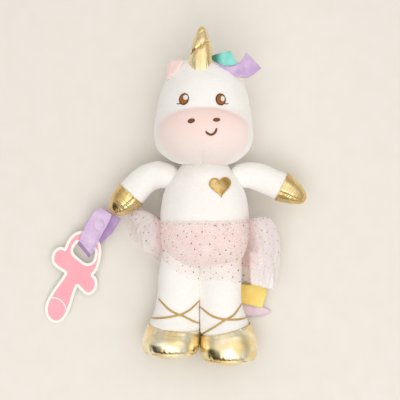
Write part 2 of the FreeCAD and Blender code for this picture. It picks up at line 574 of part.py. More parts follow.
hole.Placement = FreeCAD.Placement(strap_point(snap_at[0], snap_at[1], -0.9), tip)
node(cut("snap_socket_whole", ring_disc, hole), "snap_socket")

# ---------------------------------------------------------------- card
CARD_AT = (-103.5, -37.0)         # the middle of the card's bar
SHAPE = [
    [(-124.5, -43.2), (-129.0, -42.1), (-133.3, -44.6), (-136.3, -50.9), (-135.8, -56.3), (-132.0, -60.8), (-124.8, -65.6)],
    [(-124.8, -65.6), (-128.5, -71.6), (-133.5, -78.4), (-138.7, -86.3), (-142.5, -95.0), (-142.5, -102.5),
     (-138.9, -108.8), (-132.9, -111.5), (-126.8, -108.8), (-122.1, -102.1), (-118.5, -92.6), (-115.8, -84.2),
     (-113.3, -77.9)],
    [(-113.3, -77.9), (-109.2, -82.5), (-103.8, -85.6), (-98.4, -83.1), (-95.3, -76.4), (-96.1, -70.7), (-98.9, -67.4)],
    [(-98.9, -67.4), (-95.0, -62.0), (-92.6, -54.5), (-91.6, -48.0), (-91.8, -42.0), (-93.6, -36.4), (-97.6, -31.2),
     (-103, -28.2), (-109.4, -27.6), (-116.0, -30.0), (-121.4, -36.0), (-124.5, -43.2)],
]
HOLE = [(-114.9, -40.6), (-116.3, -47.6), (-111.2, -52.6), (-104.0, -56.8), (-99.6, -55.0), (-97.6, -50.0), (-97.4, -45.6),
        (-99.8, -43.0), (-104.4, -40.8), (-109.4, -38.6), (-112.8, -38.2)]


def card_outline(inset):
    def build(sk):
        edges = []
        for points in SHAPE:
            c = Part.BSplineCurve()
            c.interpolate([V(x - CARD_AT[0], y - CARD_AT[1], 0) for x, y in points])
            edges.append(c)
        ring = Part.BSplineCurve()
        ring.interpolate([V(x - CARD_AT[0], y - CARD_AT[1], 0) for x, y in HOLE], PeriodicFlag=True)
        if not inset:
            for c in edges:
                sk.addGeometry(c, False)
            sk.addGeometry(ring, False)
            return
        for wire, by in ((Part.Wire([c.toShape() for c in edges]), -inset), (Part.Wire([ring.toShape()]), inset)):
            flat = Part.Face(wire).makeOffset2D(by, 0, False, False, False)
            corners = []
            for edge in flat.OuterWire.OrderedEdges:
                pts = edge.discretize(max(2, int(edge.Length / 1.2) + 1))
                if edge.Orientation == "Reversed":
                    pts = pts[::-1]
                corners += pts[:-1]
            for a, b in zip(corners, corners[1:] + corners[:1]):
                if (a - b).Length > 0.02:
                    sk.addGeometry(Part.LineSegment(a, b), False)
    return build


card_tilt = turn((0.938, -0.347, 0), 5.4)
board = sketch_body("board_body", card_outline(0), "dims.board_thick")
board.Placement = FreeCAD.Placement(V(CARD_AT[0], CARD_AT[1], BAR_LEVEL - 0.8), card_tilt)
node(board, "card_board")
cell("card_border", 2.5)
doc.recompute()
face = sketch_body("face_body", card_outline(known["card_border"]), "dims.print_thick")
face.Placement = board.Placement.multiply(FreeCAD.Placement(V(0, 0, 0), FreeCAD.Rotation()))
face.Placement.Base = board.Placement.Base + card_tilt.multVec(V(0, 0, known["board_thick"]))
line_ring = obj("Part::Cylinder", "card_line_out", Radius=12.4, Height=3.0, Angle=105.0)
line_hole = obj("Part::Cylinder", "card_line_in", Radius=11.4, Height=5.0)
line_at = V(-135.8, -100.0, 0)
local = V(line_at.x - CARD_AT[0], line_at.y - CARD_AT[1], -1)
for o, down, spin in ((line_ring, 0, 5), (line_hole, 1, 0)):
    o.Placement = face.Placement.multiply(FreeCAD.Placement(local - V(0, 0, down), turn((0, 0, 1), spin)))
node(cut("card_face_cut", face, cut("card_line", line_ring, line_hole)), "card_pink_face")

# ---------------------------------------------------------------- tail
flat_piece("tail_ribbon_yellow", [(2, -46), (13, -46), (15, -58), (26, -72), (40, -76), (47.4, -75.7), (57.3, -81), (52.8, -96.4), (35.6, -92.8),
                                  (24, -88), (10, -72), (3, -60)], 4.0)
flat_piece("tail_ribbon_lilac", [(0, -46), (11, -46), (12, -60), (24, -76), (38, -90), (52.8, -97.4), (60, -101.9), (52.8, -103.7), (39.3, -103.7),
                                 (28, -98), (10, -80), (1, -62)], 2.75)

doc.recompute()
bad = []
for o in doc.Objects:
    state = list(getattr(o, "State", []))
    if "Invalid" in state or "Error" in state:
        bad.append((o.Name, state))
for o in nodes:
    if o.Shape.isNull() or not o.Shape.isValid() or len(o.Shape.Solids) < 1:
        bad.append((o.Label, "shape"))
if bad:
    raise SystemExit("not written: %s" % bad)
for o in nodes:
    solids = o.Shape.Solids
    whole = solids[0] if len(solids) == 1 else Part.makeCompound(solids)
    whole.exportStep("parts/%s.step" % o.Label)
    bb = whole.BoundBox
    print("%-22s %2d solid  %9.1f mm3  x %.1f..%.1f y %.1f..%.1f z %.1f..%.1f" % (
        o.Label, len(solids), whole.Volume, bb.XMin, bb.XMax, bb.YMin, bb.YMax, bb.ZMin, bb.ZMax))
print(len(nodes), "nodes")
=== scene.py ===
import json
import math
import bpy
import bmesh
import numpy as np
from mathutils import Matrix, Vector
from mathutils import geometry
from mathutils import noise
from mathutils.bvhtree import BVHTree

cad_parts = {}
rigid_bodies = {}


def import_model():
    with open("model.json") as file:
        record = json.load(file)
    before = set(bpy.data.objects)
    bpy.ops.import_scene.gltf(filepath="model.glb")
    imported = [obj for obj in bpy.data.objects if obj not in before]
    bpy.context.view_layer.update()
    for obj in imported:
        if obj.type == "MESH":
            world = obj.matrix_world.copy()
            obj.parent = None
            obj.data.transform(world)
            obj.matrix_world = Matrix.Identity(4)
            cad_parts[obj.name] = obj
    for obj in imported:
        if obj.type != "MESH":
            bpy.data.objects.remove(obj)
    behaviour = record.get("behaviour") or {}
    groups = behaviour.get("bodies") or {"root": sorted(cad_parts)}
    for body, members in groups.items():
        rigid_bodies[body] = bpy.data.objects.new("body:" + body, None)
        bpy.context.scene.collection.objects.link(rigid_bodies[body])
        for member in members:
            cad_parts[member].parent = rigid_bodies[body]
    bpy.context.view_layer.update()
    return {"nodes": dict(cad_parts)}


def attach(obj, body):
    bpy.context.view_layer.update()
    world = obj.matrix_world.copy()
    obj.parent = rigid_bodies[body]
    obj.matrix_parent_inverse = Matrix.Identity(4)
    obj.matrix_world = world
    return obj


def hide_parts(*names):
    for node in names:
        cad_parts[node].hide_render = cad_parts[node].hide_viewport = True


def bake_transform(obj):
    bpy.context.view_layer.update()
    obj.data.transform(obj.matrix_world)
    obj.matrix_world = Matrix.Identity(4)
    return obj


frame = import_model()
MM = 0.001
scene = bpy.context.scene
scene.view_settings.view_transform = "Standard"
scene.view_settings.look = "None"
scene.view_settings.exposure = 0.0
scene.view_settings.gamma = 1.0

# ------------------------------------------------------------------ camera
# Straight above the toy, +Y at the top of the picture.
cam_data = bpy.data.cameras.new("above")
cam_data.sensor_width = 36.0
cam_data.lens = 112.5
cam_data.clip_start, cam_data.clip_end = 0.05, 20.0
cam = bpy.data.objects.new("above", cam_data)
scene.collection.objects.link(cam)
cam.location = (-3.08 * MM, 0.0, 1130.0 * MM)
scene.camera = cam


def at(px, py, z=30.0):
    """A point of the flat lay: across and down the 400 grid, at height z. Millimetres."""
    k = 0.88 * (1 - (z - 30.0) / 1100.0)
    return np.array([-3.08 + (px - 200.0) * k, (200.0 - py) * k, z])


# ------------------------------------------------------------------ numbers
def curve(xs, ys, x):
    """Monotone cubic through the rows (xs, ys), for one or several columns."""
    xs, ys, x = np.asarray(xs, float), np.asarray(ys, float), np.asarray(x, float)
    flip = xs[-1] < xs[0]
    if flip:
        xs, ys = xs[::-1], ys[::-1]
    one = ys.ndim == 1
    if one:
        ys = ys[:, None]
    h = np.diff(xs)
    d = np.diff(ys, axis=0) / h[:, None]
    m = np.zeros_like(ys)
    m[0], m[-1] = d[0], d[-1]
    for i in range(1, len(xs) - 1):
        w1, w2 = 2 * h[i] + h[i - 1], h[i] + 2 * h[i - 1]
        same = d[i - 1] * d[i] > 0
        safe = np.where(same, w1 / np.where(same, d[i - 1], 1) + w2 / np.where(same, d[i], 1), 1)
        m[i] = np.where(same, (w1 + w2) / safe, 0)
    i = np.clip(np.searchsorted(xs, x) - 1, 0, len(xs) - 2)
    t = ((x - xs[i]) / h[i])[:, None]
    out = ((2 * t ** 3 - 3 * t ** 2 + 1) * ys[i] + (t ** 3 - 2 * t ** 2 + t) * h[i][:, None] * m[i]
           + (-2 * t ** 3 + 3 * t ** 2) * ys[i + 1] + (t ** 3 - t ** 2) * h[i][:, None] * m[i + 1])
    return out[:, 0] if one else out


def rounded(points, n, closed=False):
    """Catmull-Rom line through points, n samples evenly along it."""
    p = np.asarray(points, float)
    if closed:
        p = np.vstack([p[-1], p, p[0], p[1]])
    else:
        p = np.vstack([2 * p[0] - p[1], p, 2 * p[-1] - p[-2]])
    out = []
    for i in range(1, len(p) - 2):
        for t in np.linspace(0, 1, 16, endpoint=False):
            a, b, c, d = p[i - 1], p[i], p[i + 1], p[i + 2]
            out.append(0.5 * (2 * b + (c - a) * t + (2 * a - 5 * b + 4 * c - d) * t * t + (3 * b - a - 3 * c + d) * t ** 3))
    out.append(p[-2])
    out = np.array(out)
    run = np.concatenate([[0], np.cumsum(np.linalg.norm(np.diff(out, axis=0), axis=1))])
    want = np.linspace(0, run[-1], n + 1 if closed else n)
    if closed:
        want = want[:-1]
    return np.stack([np.interp(want, run, out[:, i]) for i in range(out.shape[1])], 1)


def fbm(points, size, seed=0.0, octaves=2):
    """Smooth noise, about -1 to 1, at each point; size is the feature size in mm."""
    off = Vector((seed * 13.7, seed * 7.3, seed * 3.1))
    return np.array([noise.fractal(Vector(p) / size + off, 0.6, 2.1, octaves) for p in points])


def to_line(points, line):
    """Distance of every point from a polyline, and how far along it, 0 to 1."""
    p, line = np.asarray(points, float), np.asarray(line, float)
    best, where = np.full(len(p), 1e9), np.zeros(len(p))
    for i in range(len(line) - 1):
        a, d = line[i], line[i + 1] - line[i]
        t = np.clip(((p - a) @ d) / max(d @ d, 1e-9), 0, 1)
        r = np.linalg.norm(p - a - t[:, None] * d, axis=1)
        near = r < best
        best = np.where(near, r, best)
        where = np.where(near, (i + t) / (len(line) - 1), where)
    return best, where


def ease(a, b, x):
    t = np.clip((np.asarray(x, float) - a) / (b - a), 0, 1)
    return t * t * (3 - 2 * t)


# ------------------------------------------------------------------ meshes
def make(name, co, faces, smooth=True):
    """A mesh object from points in millimetres."""
    me = bpy.data.meshes.new(name)
    me.from_pydata([tuple(v) for v in np.asarray(co, float) * MM], [], [tuple(f) for f in faces])
    me.validate()
    me.update()
    if smooth:
        me.shade_smooth()
    ob = bpy.data.objects.new(name, me)
    scene.collection.objects.link(ob)
    return ob


def coords(ob):
    co = np.zeros(len(ob.data.vertices) * 3)
    ob.data.vertices.foreach_get("co", co)
    return co.reshape(-1, 3) / MM


def put(ob, co):
    ob.data.vertices.foreach_set("co", (np.asarray(co) * MM).ravel())
    ob.data.update()


def normals(ob):
    ob.data.update()
    n = np.zeros(len(ob.data.vertices) * 3)
    ob.data.vertex_normals.foreach_get("vector", n)
    return n.reshape(-1, 3)


def grid_faces(rows, cols, wrap=True):
    f = []
    for r in range(rows - 1):
        for c in range(cols if wrap else cols - 1):
            d = (c + 1) % cols
            f.append((r * cols + c, r * cols + d, (r + 1) * cols + d, (r + 1) * cols + c))
    return f


def grid_normals(g):
    """Outward-ish normals of a closed-round grid [rows, cols, 3]."""
    du = np.roll(g, -1, 1) - np.roll(g, 1, 1)
    dv = np.gradient(g, axis=0)
    n = np.cross(du, dv)
    n /= np.maximum(np.linalg.norm(n, axis=2, keepdims=True), 1e-9)
    return n


def closed_loft(name, g, smooth=True):
    """A closed mesh of a round grid, its two ends brought to a point."""
    rows, cols, _ = g.shape
    co = np.vstack([g.reshape(-1, 3), g[0].mean(0), g[-1].mean(0)])
    f = grid_faces(rows, cols)
    a, b = rows * cols, rows * cols + 1
    f += [(a, (c + 1) % cols, c) for c in range(cols)]
    f += [(b, (rows - 1) * cols + c, (rows - 1) * cols + (c + 1) % cols) for c in range(cols)]
    ob = make(name, co, f, smooth)
    bm = bmesh.new()
    bm.from_mesh(ob.data)
    bmesh.ops.recalc_face_normals(bm, faces=bm.faces)
    bm.to_mesh(ob.data)
    bm.free()
    if smooth:
        ob.data.shade_smooth()
    return ob


def rings_y(table, ys, cols, grow=0.0):
    """Grid of oval rings along Y; table rows (y, centre x, half width, half depth, centre z)."""
    t = np.array(table, float)
    v = curve(t[:, 0], t[:, 1:], ys)
    th = np.linspace(0, 2 * np.pi, cols, endpoint=False)
    g = np.zeros((len(ys), cols, 3))
    g[:, :, 0] = v[:, 0:1] + (v[:, 1:2] + grow) * np.cos(th)
    g[:, :, 1] = np.asarray(ys)[:, None]
    g[:, :, 2] = v[:, 3:4] + (v[:, 2:3] + grow) * np.sin(th)
    return g, th


def rings_arm(table, ts, cols, grow=0.0):
    """Grid of oval rings along an arm; rows (x, y, z, half width, half depth, heading)."""
    t = np.array(table, float)
    run = np.concatenate([[0], np.cumsum(np.linalg.norm(np.diff(t[:, :3], axis=0), axis=1))])
    v = curve(run, t, np.asarray(ts) * run[-1])
    th = np.linspace(0, 2 * np.pi, cols, endpoint=False)
    h = np.radians(v[:, 5])
    g = np.zeros((len(v), cols, 3))
    across = (v[:, 3:4] + grow) * np.cos(th)
    g[:, :, 0] = v[:, 0:1] - np.sin(h)[:, None] * across
    g[:, :, 1] = v[:, 1:2] + np.cos(h)[:, None] * across
    g[:, :, 2] = v[:, 2:3] + (v[:, 4:5] + grow) * np.sin(th)
    return g, th, run


def ball(name, centre, r):
    bm = bmesh.new()
    bmesh.ops.create_icosphere(bm, subdivisions=4, radius=1.0)
    co = np.array([v.co[:] for v in bm.verts])
    f = [[v.index for v in x.verts] for x in bm.faces]
    bm.free()
    r = np.array(r if hasattr(r, "__len__") else (r, r, r), float)
    return make(name, co * r + np.array(centre, float), f)


def remesh(name, parts, voxel, relax=6):
    """Parts fused into one skin and evened out."""
    co, faces, base = [], [], 0
    for p in parts:
        c = coords(p)
        co.append(c)
        faces += [tuple(base + i for i in f.vertices) for f in p.data.polygons]
        base += len(c)
        me = p.data
        bpy.data.objects.remove(p)
        bpy.data.meshes.remove(me)
    tmp = make(name + "_tmp", np.vstack(co), faces)
    m = tmp.modifiers.new("voxel", "REMESH")
    m.mode = "VOXEL"
    m.voxel_size = voxel * MM
    m.use_smooth_shade = True
    dg = bpy.context.evaluated_depsgraph_get()
    me = bpy.data.meshes.new_from_object(tmp.evaluated_get(dg))
    old = tmp.data
    bpy.data.objects.remove(tmp)
    bpy.data.meshes.remove(old)
    me.name = name
    ob = bpy.data.objects.new(name, me)
    scene.collection.objects.link(ob)
    even(ob, relax)
    me.shade_smooth()
    return ob


def even(ob, n, amount=0.5):
    """Laplacian smoothing with the shrinkage put back."""
    co = coords(ob)
    e = np.zeros(len(ob.data.edges) * 2, int)
    ob.data.edges.foreach_get("vertices", e)
    e = e.reshape(-1, 2)
    deg = np.bincount(e.ravel(), minlength=len(co)).astype(float)[:, None]
    for i in range(2 * n):
        s = np.stack([np.bincount(e[:, 0], co[e[:, 1], k], len(co)) + np.bincount(e[:, 1], co[e[:, 0], k], len(co))
                      for k in range(3)], 1)
        co = co + (s / np.maximum(deg, 1) - co) * (amount if i % 2 == 0 else -amount * 1.02)
    put(ob, co)


def soft_floor(co, low=0.35, s=0.9):
    """Spreads what would sink into the table flat on it."""
    co = co.copy()
    z = co[..., 2] - low
    co[..., 2] = low + s * np.log1p(np.exp(np.clip(z / s, -40, 40)))
    high = z / s > 20
    co[..., 2][high] = (z + low)[high]
    return co


def grooves(ob, lines):
    """Presses seams into the mesh; lines are (polyline, depth, width)."""
    co, n = coords(ob), normals(ob)
    for line, depth, width in lines:
        d, _ = to_line(co, line)
        co = co - n * (depth * np.exp(-(d / width) ** 2))[:, None]
    put(ob, co)


def lumps(ob, amount, size, seed):
    co, n = coords(ob), normals(ob)
    put(ob, co + n * (amount * fbm(co, size, seed, 2))[:, None])


def tree(ob):
    ob.data.update()
    return BVHTree.FromPolygons([v.co.copy() for v in ob.data.vertices], [tuple(p.vertices) for p in ob.data.polygons])


def drop(trees, x, y, z=200.0, way=(0, 0, -1)):
    """Where a straight line first meets one of the trees: point and normal, in mm."""
    best = None
    for t in trees:
        hit = t.ray_cast(Vector((x, y, z)) * MM, Vector(way))
        if hit[0] is not None and (best is None or hit[3] < best[2]):
            best = (np.array(hit[0]) / MM, np.array(hit[1]), hit[3])
    return best


def tube(name, path, radius, sides=10, flat=1.0, up=None, taper=0.0):
    """A closed thread or piping along a path; flat squeezes it along up."""
    p = np.asarray(path, float)
    n = len(p)
    tan = np.gradient(p, axis=0)
    tan /= np.maximum(np.linalg.norm(tan, axis=1, keepdims=True), 1e-9)
    up = np.tile(np.array([0, 0, 1.0]), (n, 1)) if up is None else np.asarray(up, float)
    side = np.cross(tan, up)
    side /= np.maximum(np.linalg.norm(side, axis=1, keepdims=True), 1e-9)
    high = np.cross(side, tan)
    th = np.linspace(0, 2 * np.pi, sides, endpoint=False)
    s = np.linspace(0, 1, n)
    r = radius * (1 - taper + taper * np.sqrt(np.clip(np.minimum(s, 1 - s) * 6, 0, 1)))
    g = (p[:, None, :] + side[:, None, :] * (np.cos(th)[None, :, None] * r[:, None, None])
         + high[:, None, :] * (np.sin(th)[None, :, None] * r[:, None, None] * flat))
    return closed_loft(name, g)


def patch(name, outline, trees, height, spacing=0.4, sink=0.5, round_by=1.2, ridge=None):
    """An embroidered or sewn-on patch: the outline laid on the surface below, domed, closed."""
    edge = rounded(outline, max(16, int(np.linalg.norm(np.diff(np.vstack([outline, outline[:1]]), axis=0), axis=1).sum() / spacing)), True)
    lo, hi = edge.min(0), edge.max(0)
    pts = list(map(tuple, edge))
    for j, y in enumerate(np.arange(lo[1], hi[1], spacing * 0.87)):
        for x in np.arange(lo[0] + (spacing / 2 if j % 2 else 0), hi[0], spacing):
            inside = False
            for a, b in zip(edge, np.roll(edge, -1, 0)):
                if (a[1] > y) != (b[1] > y) and x < (b[0] - a[0]) * (y - a[1]) / (b[1] - a[1]) + a[0]:
                    inside = not inside
            if inside and np.min(np.hypot(edge[:, 0] - x, edge[:, 1] - y)) > spacing * 0.45:
                pts.append((x, y))
    n = len(edge)
    out = geometry.delaunay_2d_cdt([Vector(p) for p in pts], [(i, (i + 1) % n) for i in range(n)], [], 1, 1e-6)
    flat, tris = np.array([v[:] for v in out[0]]), [tuple(f) for f in out[2]]
    first = len(flat)
    d = np.array([np.min(to_line(np.array([[x, y]]), np.vstack([edge, edge[:1]]))[0]) for x, y in flat])
    top, low = [], []
    for (x, y), r in zip(flat, d):
        hit = drop(trees, x, y)
        p, nn = hit[0], hit[1]
        k = min(1.0, r / round_by)
        h = height * (0.25 + 0.75 * math.sqrt(max(0.0, 1 - (1 - k) ** 2)))
        if ridge:
            h += ridge(x, y, r)
        top.append(p + nn * h)
        low.append(p - nn * sink)
    faces = list(tris) + [tuple(first + i for i in reversed(f)) for f in tris]
    count = {}
    for f in tris:
        for a, b in zip(f, f[1:] + f[:1]):
            count[(a, b)] = count.get((a, b), 0) + 1
    for a, b in count:
        if (b, a) not in count:
            faces.append((b, a, first + a, first + b))
    ob = make(name, np.vstack([top, low]), faces)
    bm = bmesh.new()
    bm.from_mesh(ob.data)
    bmesh.ops.recalc_face_normals(bm, faces=bm.faces)
    bm.to_mesh(ob.data)
    bm.free()
    ob.data.shade_smooth()
    return ob


# ------------------------------------------------------------------ materials
def linear(c):
    return tuple(((v / 255.0) / 12.92 if v / 255.0 <= 0.04045 else ((v / 255.0 + 0.055) / 1.055) ** 2.4) for v in c) + (1.0,)


class Mat:
    def __init__(self, name):
        self.m = bpy.data.materials.new(name)
        self.m.use_nodes = True
        self.t = self.m.node_tree
        self.t.nodes.clear()
        self.out = self.n("ShaderNodeOutputMaterial")
        self.where = self.n("ShaderNodeTexCoord").outputs["Object"]

    def n(self, kind, props=None, **ins):
        node = self.t.nodes.new(kind)
        for k, v in (props or {}).items():
            setattr(node, k, v)
        for k, v in ins.items():
            s = node.inputs[int(k[1:])] if k[0] == "i" and k[1:].isdigit() else node.inputs[k.replace("_", " ")]
            if isinstance(v, bpy.types.NodeSocket):
                self.t.links.new(v, s)
            else:
                s.default_value = v
        return node

    def noise(self, scale, detail=3.0, rough=0.55, vector=None, distort=0.0):
        return self.n("ShaderNodeTexNoise", Vector=vector or self.where, Scale=scale, Detail=detail, Roughness=rough,
                      Distortion=distort).outputs["Fac"]

    def stretch(self, x, y, z, turn=(0, 0, 0)):
        return self.n("ShaderNodeMapping", Vector=self.where, Scale=(x, y, z), Rotation=turn).outputs["Vector"]

    def math(self, op, a, b=0.0, c=0.0, clamp=False):
        return self.n("ShaderNodeMath", {"operation": op, "use_clamp": clamp}, i0=a, i1=b, i2=c).outputs[0]

    def range(self, v, a, b, c=0.0, d=1.0):
        return self.n("ShaderNodeMapRange", {"interpolation_type": "SMOOTHSTEP"}, Value=v, From_Min=a, From_Max=b, To_Min=c,
                      To_Max=d).outputs["Result"]

    def mix(self, f, a, b):
        node = self.n("ShaderNodeMix", {"data_type": "RGBA"})
        for s, v in ((node.inputs[0], f), (node.inputs[6], a), (node.inputs[7], b)):
            if isinstance(v, bpy.types.NodeSocket):
                self.t.links.new(v, s)
            else:
                s.default_value = v
        return node.outputs[2]

    def bump(self, height, distance, strength=1.0, under=None):
        node = self.n("ShaderNodeBump", Height=height, Distance=distance, Strength=strength)
        if under is not None:
            self.t.links.new(under, node.inputs["Normal"])
        return node.outputs["Normal"]

    def surface(self, colour, rough, normal=None, **fixed):
        b = self.n("ShaderNodeBsdfPrincipled")
        for s, v in (("Base Color", colour), ("Roughness", rough)):
            if isinstance(v, bpy.types.NodeSocket):
                self.t.links.new(v, b.inputs[s])
            else:
                b.inputs[s].default_value = v
        if normal is not None:
            self.t.links.new(normal, b.inputs["Normal"])
        for k, v in fixed.items():
            b.inputs[k.replace("_", " ")].default_value = v
        self.t.links.new(b.outputs[0], self.out.inputs[0])
        return b


def plush(name, base, deep, second=None):
    """Short-pile plush: combed nap, clumps, a soft sheen."""
    m = Mat(name)
    nap = m.noise(1700, 3, 0.7, m.stretch(1.0, 0.6, 1.0))
    clump = m.noise(420, 3, 0.6, distort=0.4)
    wide = m.noise(40, 2, 0.5)
    # the pile is painted darker where its nap and clump bump is low: painted shade in the hollows of the pile
    shade = m.math("ADD", m.math("MULTIPLY", nap, 0.45), m.math("MULTIPLY", clump, 0.55))
    tone = m.range(shade, 0.34, 0.62)
    colour = m.mix(tone, linear(deep), linear(base))
    if second:
        pink, pink_deep, painted_lit_pale = second
        edge = m.n("ShaderNodeAttribute", {"attribute_name": "pink_side"}).outputs["Fac"]
        fuzzy = m.math("ADD", edge, m.math("MULTIPLY", m.math("SUBTRACT", clump, 0.5), 2.4))
        inside = m.range(fuzzy, -1.9, 2.4)
        up = m.n("ShaderNodeSeparateXYZ", Vector=m.where).outputs["Y"]
        # one pink fabric, painted paler towards the chin and pinker up the nose bridge: painted light and shade
        painted_light_to_chin = m.range(up, 0.029, 0.078)
        pink_with_painted_light = m.mix(painted_light_to_chin, linear(painted_lit_pale), linear(pink))
        # the pink pile is also painted deeper where the bump is low: painted shade
        pink_with_painted_light = m.mix(m.range(tone, 0.0, 1.0, 0.5, 1.0), m.mix(0.6, linear(pink_deep), pink_with_painted_light), pink_with_painted_light)
        colour = m.mix(inside, colour, pink_with_painted_light)
    colour = m.mix(m.range(wide, 0.35, 0.7, 0.0, 0.2), colour, linear(deep))
    height = m.math("ADD", m.math("MULTIPLY", nap, 0.4), m.math("MULTIPLY", clump, 0.6))
    m.surface(colour, 0.95, m.bump(height, 0.0008, 0.30), Sheen_Weight=0.85, Sheen_Roughness=0.5, Specular_IOR_Level=0.15)
    return m.m


def foil(name, base, dark, bright, wrinkle=1.0):
    """Gold foil cloth: bright metal film on a knit, smooth, with a few faint creases."""
    m = Mat(name)
    crease = m.noise(60, 1.5, 0.45, distort=0.5)
    fine = m.noise(480, 3, 0.6)
    knit = m.n("ShaderNodeTexWave", {"wave_type": "BANDS", "bands_direction": "DIAGONAL"}, Vector=m.where, Scale=260.0,
               Distortion=1.5, Detail=1.0).outputs["Fac"]
    # the film is painted darker where the crease bump is low: painted shade in the crease hollows
    tone = m.range(crease, 0.30, 0.66)
    soft = m.noise(120, 2, 0.5)
    colour = m.mix(tone, linear(dark), m.mix(m.range(soft, 0.4, 0.65), linear(base), linear(bright)))
    height = m.math("ADD", m.math("MULTIPLY", crease, 0.8 * wrinkle), m.math("ADD", m.math("MULTIPLY", fine, 0.012), m.math("MULTIPLY", knit, 0.006)))
    rough = m.range(fine, 0.3, 0.75, 0.22, 0.28)
    m.surface(colour, rough, m.bump(height, 0.0010, 0.4), Metallic=0.9)
    return m.m


def thread(name, base, dark, turn=0.0, per_mm=2.6, metallic=0.0, rough=0.5):
    """Satin stitch: close parallel threads, turn is their lie in degrees."""
    m = Mat(name)
    lie = m.n("ShaderNodeMapping", Vector=m.where, Rotation=(0, 0, math.radians(turn))).outputs["Vector"]
    rows = m.n("ShaderNodeTexWave", {"wave_type": "BANDS", "bands_direction": "X"}, Vector=lie, Scale=per_mm * 1000 / 20 * 3.14,
               Distortion=0.6, Detail=1.0, Detail_Scale=2.0).outputs["Fac"]
    grain = m.noise(900, 2, 0.5)
    # painted darker in the grooves between threads, where the row bump is low: painted shade; the grain noise varies it
    # at random
    colour = m.mix(m.math("MULTIPLY", rows, m.range(grain, 0.2, 0.8, 0.6, 1.0)), linear(dark), linear(base))
    m.surface(colour, rough, m.bump(rows, 0.00025, 0.6), Sheen_Weight=0.03, Specular_IOR_Level=0.3, Metallic=metallic)
    return m.m


def ribbon_cloth(name, base, deep, turn=0.0, rough=0.38, end=None):
    """Satin ribbon: fine ribs across, soft gloss, slightly uneven dye."""
    m = Mat(name)
    lie = m.n("ShaderNodeMapping", Vector=m.where, Rotation=(0, 0, math.radians(turn))).outputs["Vector"]
    rib = m.n("ShaderNodeTexWave", {"wave_type": "BANDS", "bands_direction": "X"}, Vector=lie, Scale=420.0, Distortion=0.3,
              Detail=1.0).outputs["Fac"]
    weft = m.n("ShaderNodeTexWave", {"wave_type": "BANDS", "bands_direction": "Y"}, Vector=lie, Scale=300.0, Distortion=0.3,
               Detail=1.0).outputs["Fac"]
    cloud = m.noise(90, 3, 0.6)
    colour = m.mix(m.range(cloud, 0.3, 0.7), linear(deep), linear(base))
    # painted deeper in the grooves between ribs, where the rib bump is low: painted shade
    colour = m.mix(m.range(rib, 0.0, 1.0, 0.12, 0.0), colour, linear(deep))
    # where end is given, the ribbon is painted its dark colour up to that X: painted shade; on the teal ribbon it is
    # the horn's shade
    if end:
        across = m.n("ShaderNodeSeparateXYZ", Vector=m.where).outputs["X"]
        colour = m.mix(m.range(across, end[0], end[1], 1.0, 0.0), colour, linear(end[2]))
    m.surface(colour, m.range(cloud, 0.3, 0.7, rough + 0.08, rough), m.bump(m.math("ADD", rib, m.math("MULTIPLY", weft, 0.6)), 0.00012, 0.6),
              Sheen_Weight=0.3, Sheen_Roughness=0.35)
    return m.m


def net(name, tint, cover):
    """Tulle: a fine hexagonal net, so most of it is holes."""
    m = Mat(name)
    cells = m.n("ShaderNodeTexVoronoi", {"feature": "DISTANCE_TO_EDGE"}, Vector=m.where, Scale=900.0, Randomness=0.15).outputs["Distance"]
    wire = m.range(cells, 0.05, 0.16, 1.0, 0.0)
    cloud = m.noise(70, 3, 0.6)
    solid = m.math("ADD", m.math("MULTIPLY", wire, 0.13), m.range(cloud, 0.3, 0.7, cover - 0.04, cover + 0.04), clamp=True)
    # the flares at the two sides are single, denser and less translucent, and their hue is painted paler than over the
    # hips: painted light over the shade on the floor beneath
    across = m.math("ABSOLUTE", m.math("SUBTRACT", m.n("ShaderNodeSeparateXYZ", Vector=m.where).outputs["X"], 0.0015))
    flare = m.range(across, 0.031, 0.050)
    solid = m.math("ADD", solid, m.math("MULTIPLY", flare, 0.38), clamp=True)
    hue_painted_pale_at_flares = m.mix(flare, linear(tint), linear((255, 249, 249)))
    cloth = m.n("ShaderNodeBsdfDiffuse", Color=hue_painted_pale_at_flares, Roughness=0.9)
    glow = m.n("ShaderNodeBsdfTranslucent", Color=hue_painted_pale_at_flares)
    both = m.n("ShaderNodeMixShader", i0=m.range(flare, 0.0, 1.0, 0.6, 0.18), i1=cloth.outputs[0], i2=glow.outputs[0])
    clear = m.n("ShaderNodeBsdfTransparent")
    full = m.n("ShaderNodeMixShader", i0=solid, i1=clear.outputs[0], i2=both.outputs[0])
    m.t.links.new(full.outputs[0], m.out.inputs[0])
    return m.m


def paper(name, base, deep, rough=0.55, coat=0.0):
    m = Mat(name)
    fibre = m.noise(1400, 4, 0.7)
    cloud = m.noise(60, 3, 0.5)
    colour = m.mix(m.range(m.math("ADD", m.math("MULTIPLY", fibre, 0.5), m.math("MULTIPLY", cloud, 0.5)), 0.35, 0.65), linear(deep), linear(base))
    m.surface(colour, rough, m.bump(fibre, 0.00008, 0.5), Coat_Weight=coat, Coat_Roughness=0.3)
    return m.m


WHITE = plush("white_plush", (252, 250, 246), (247, 243, 237))
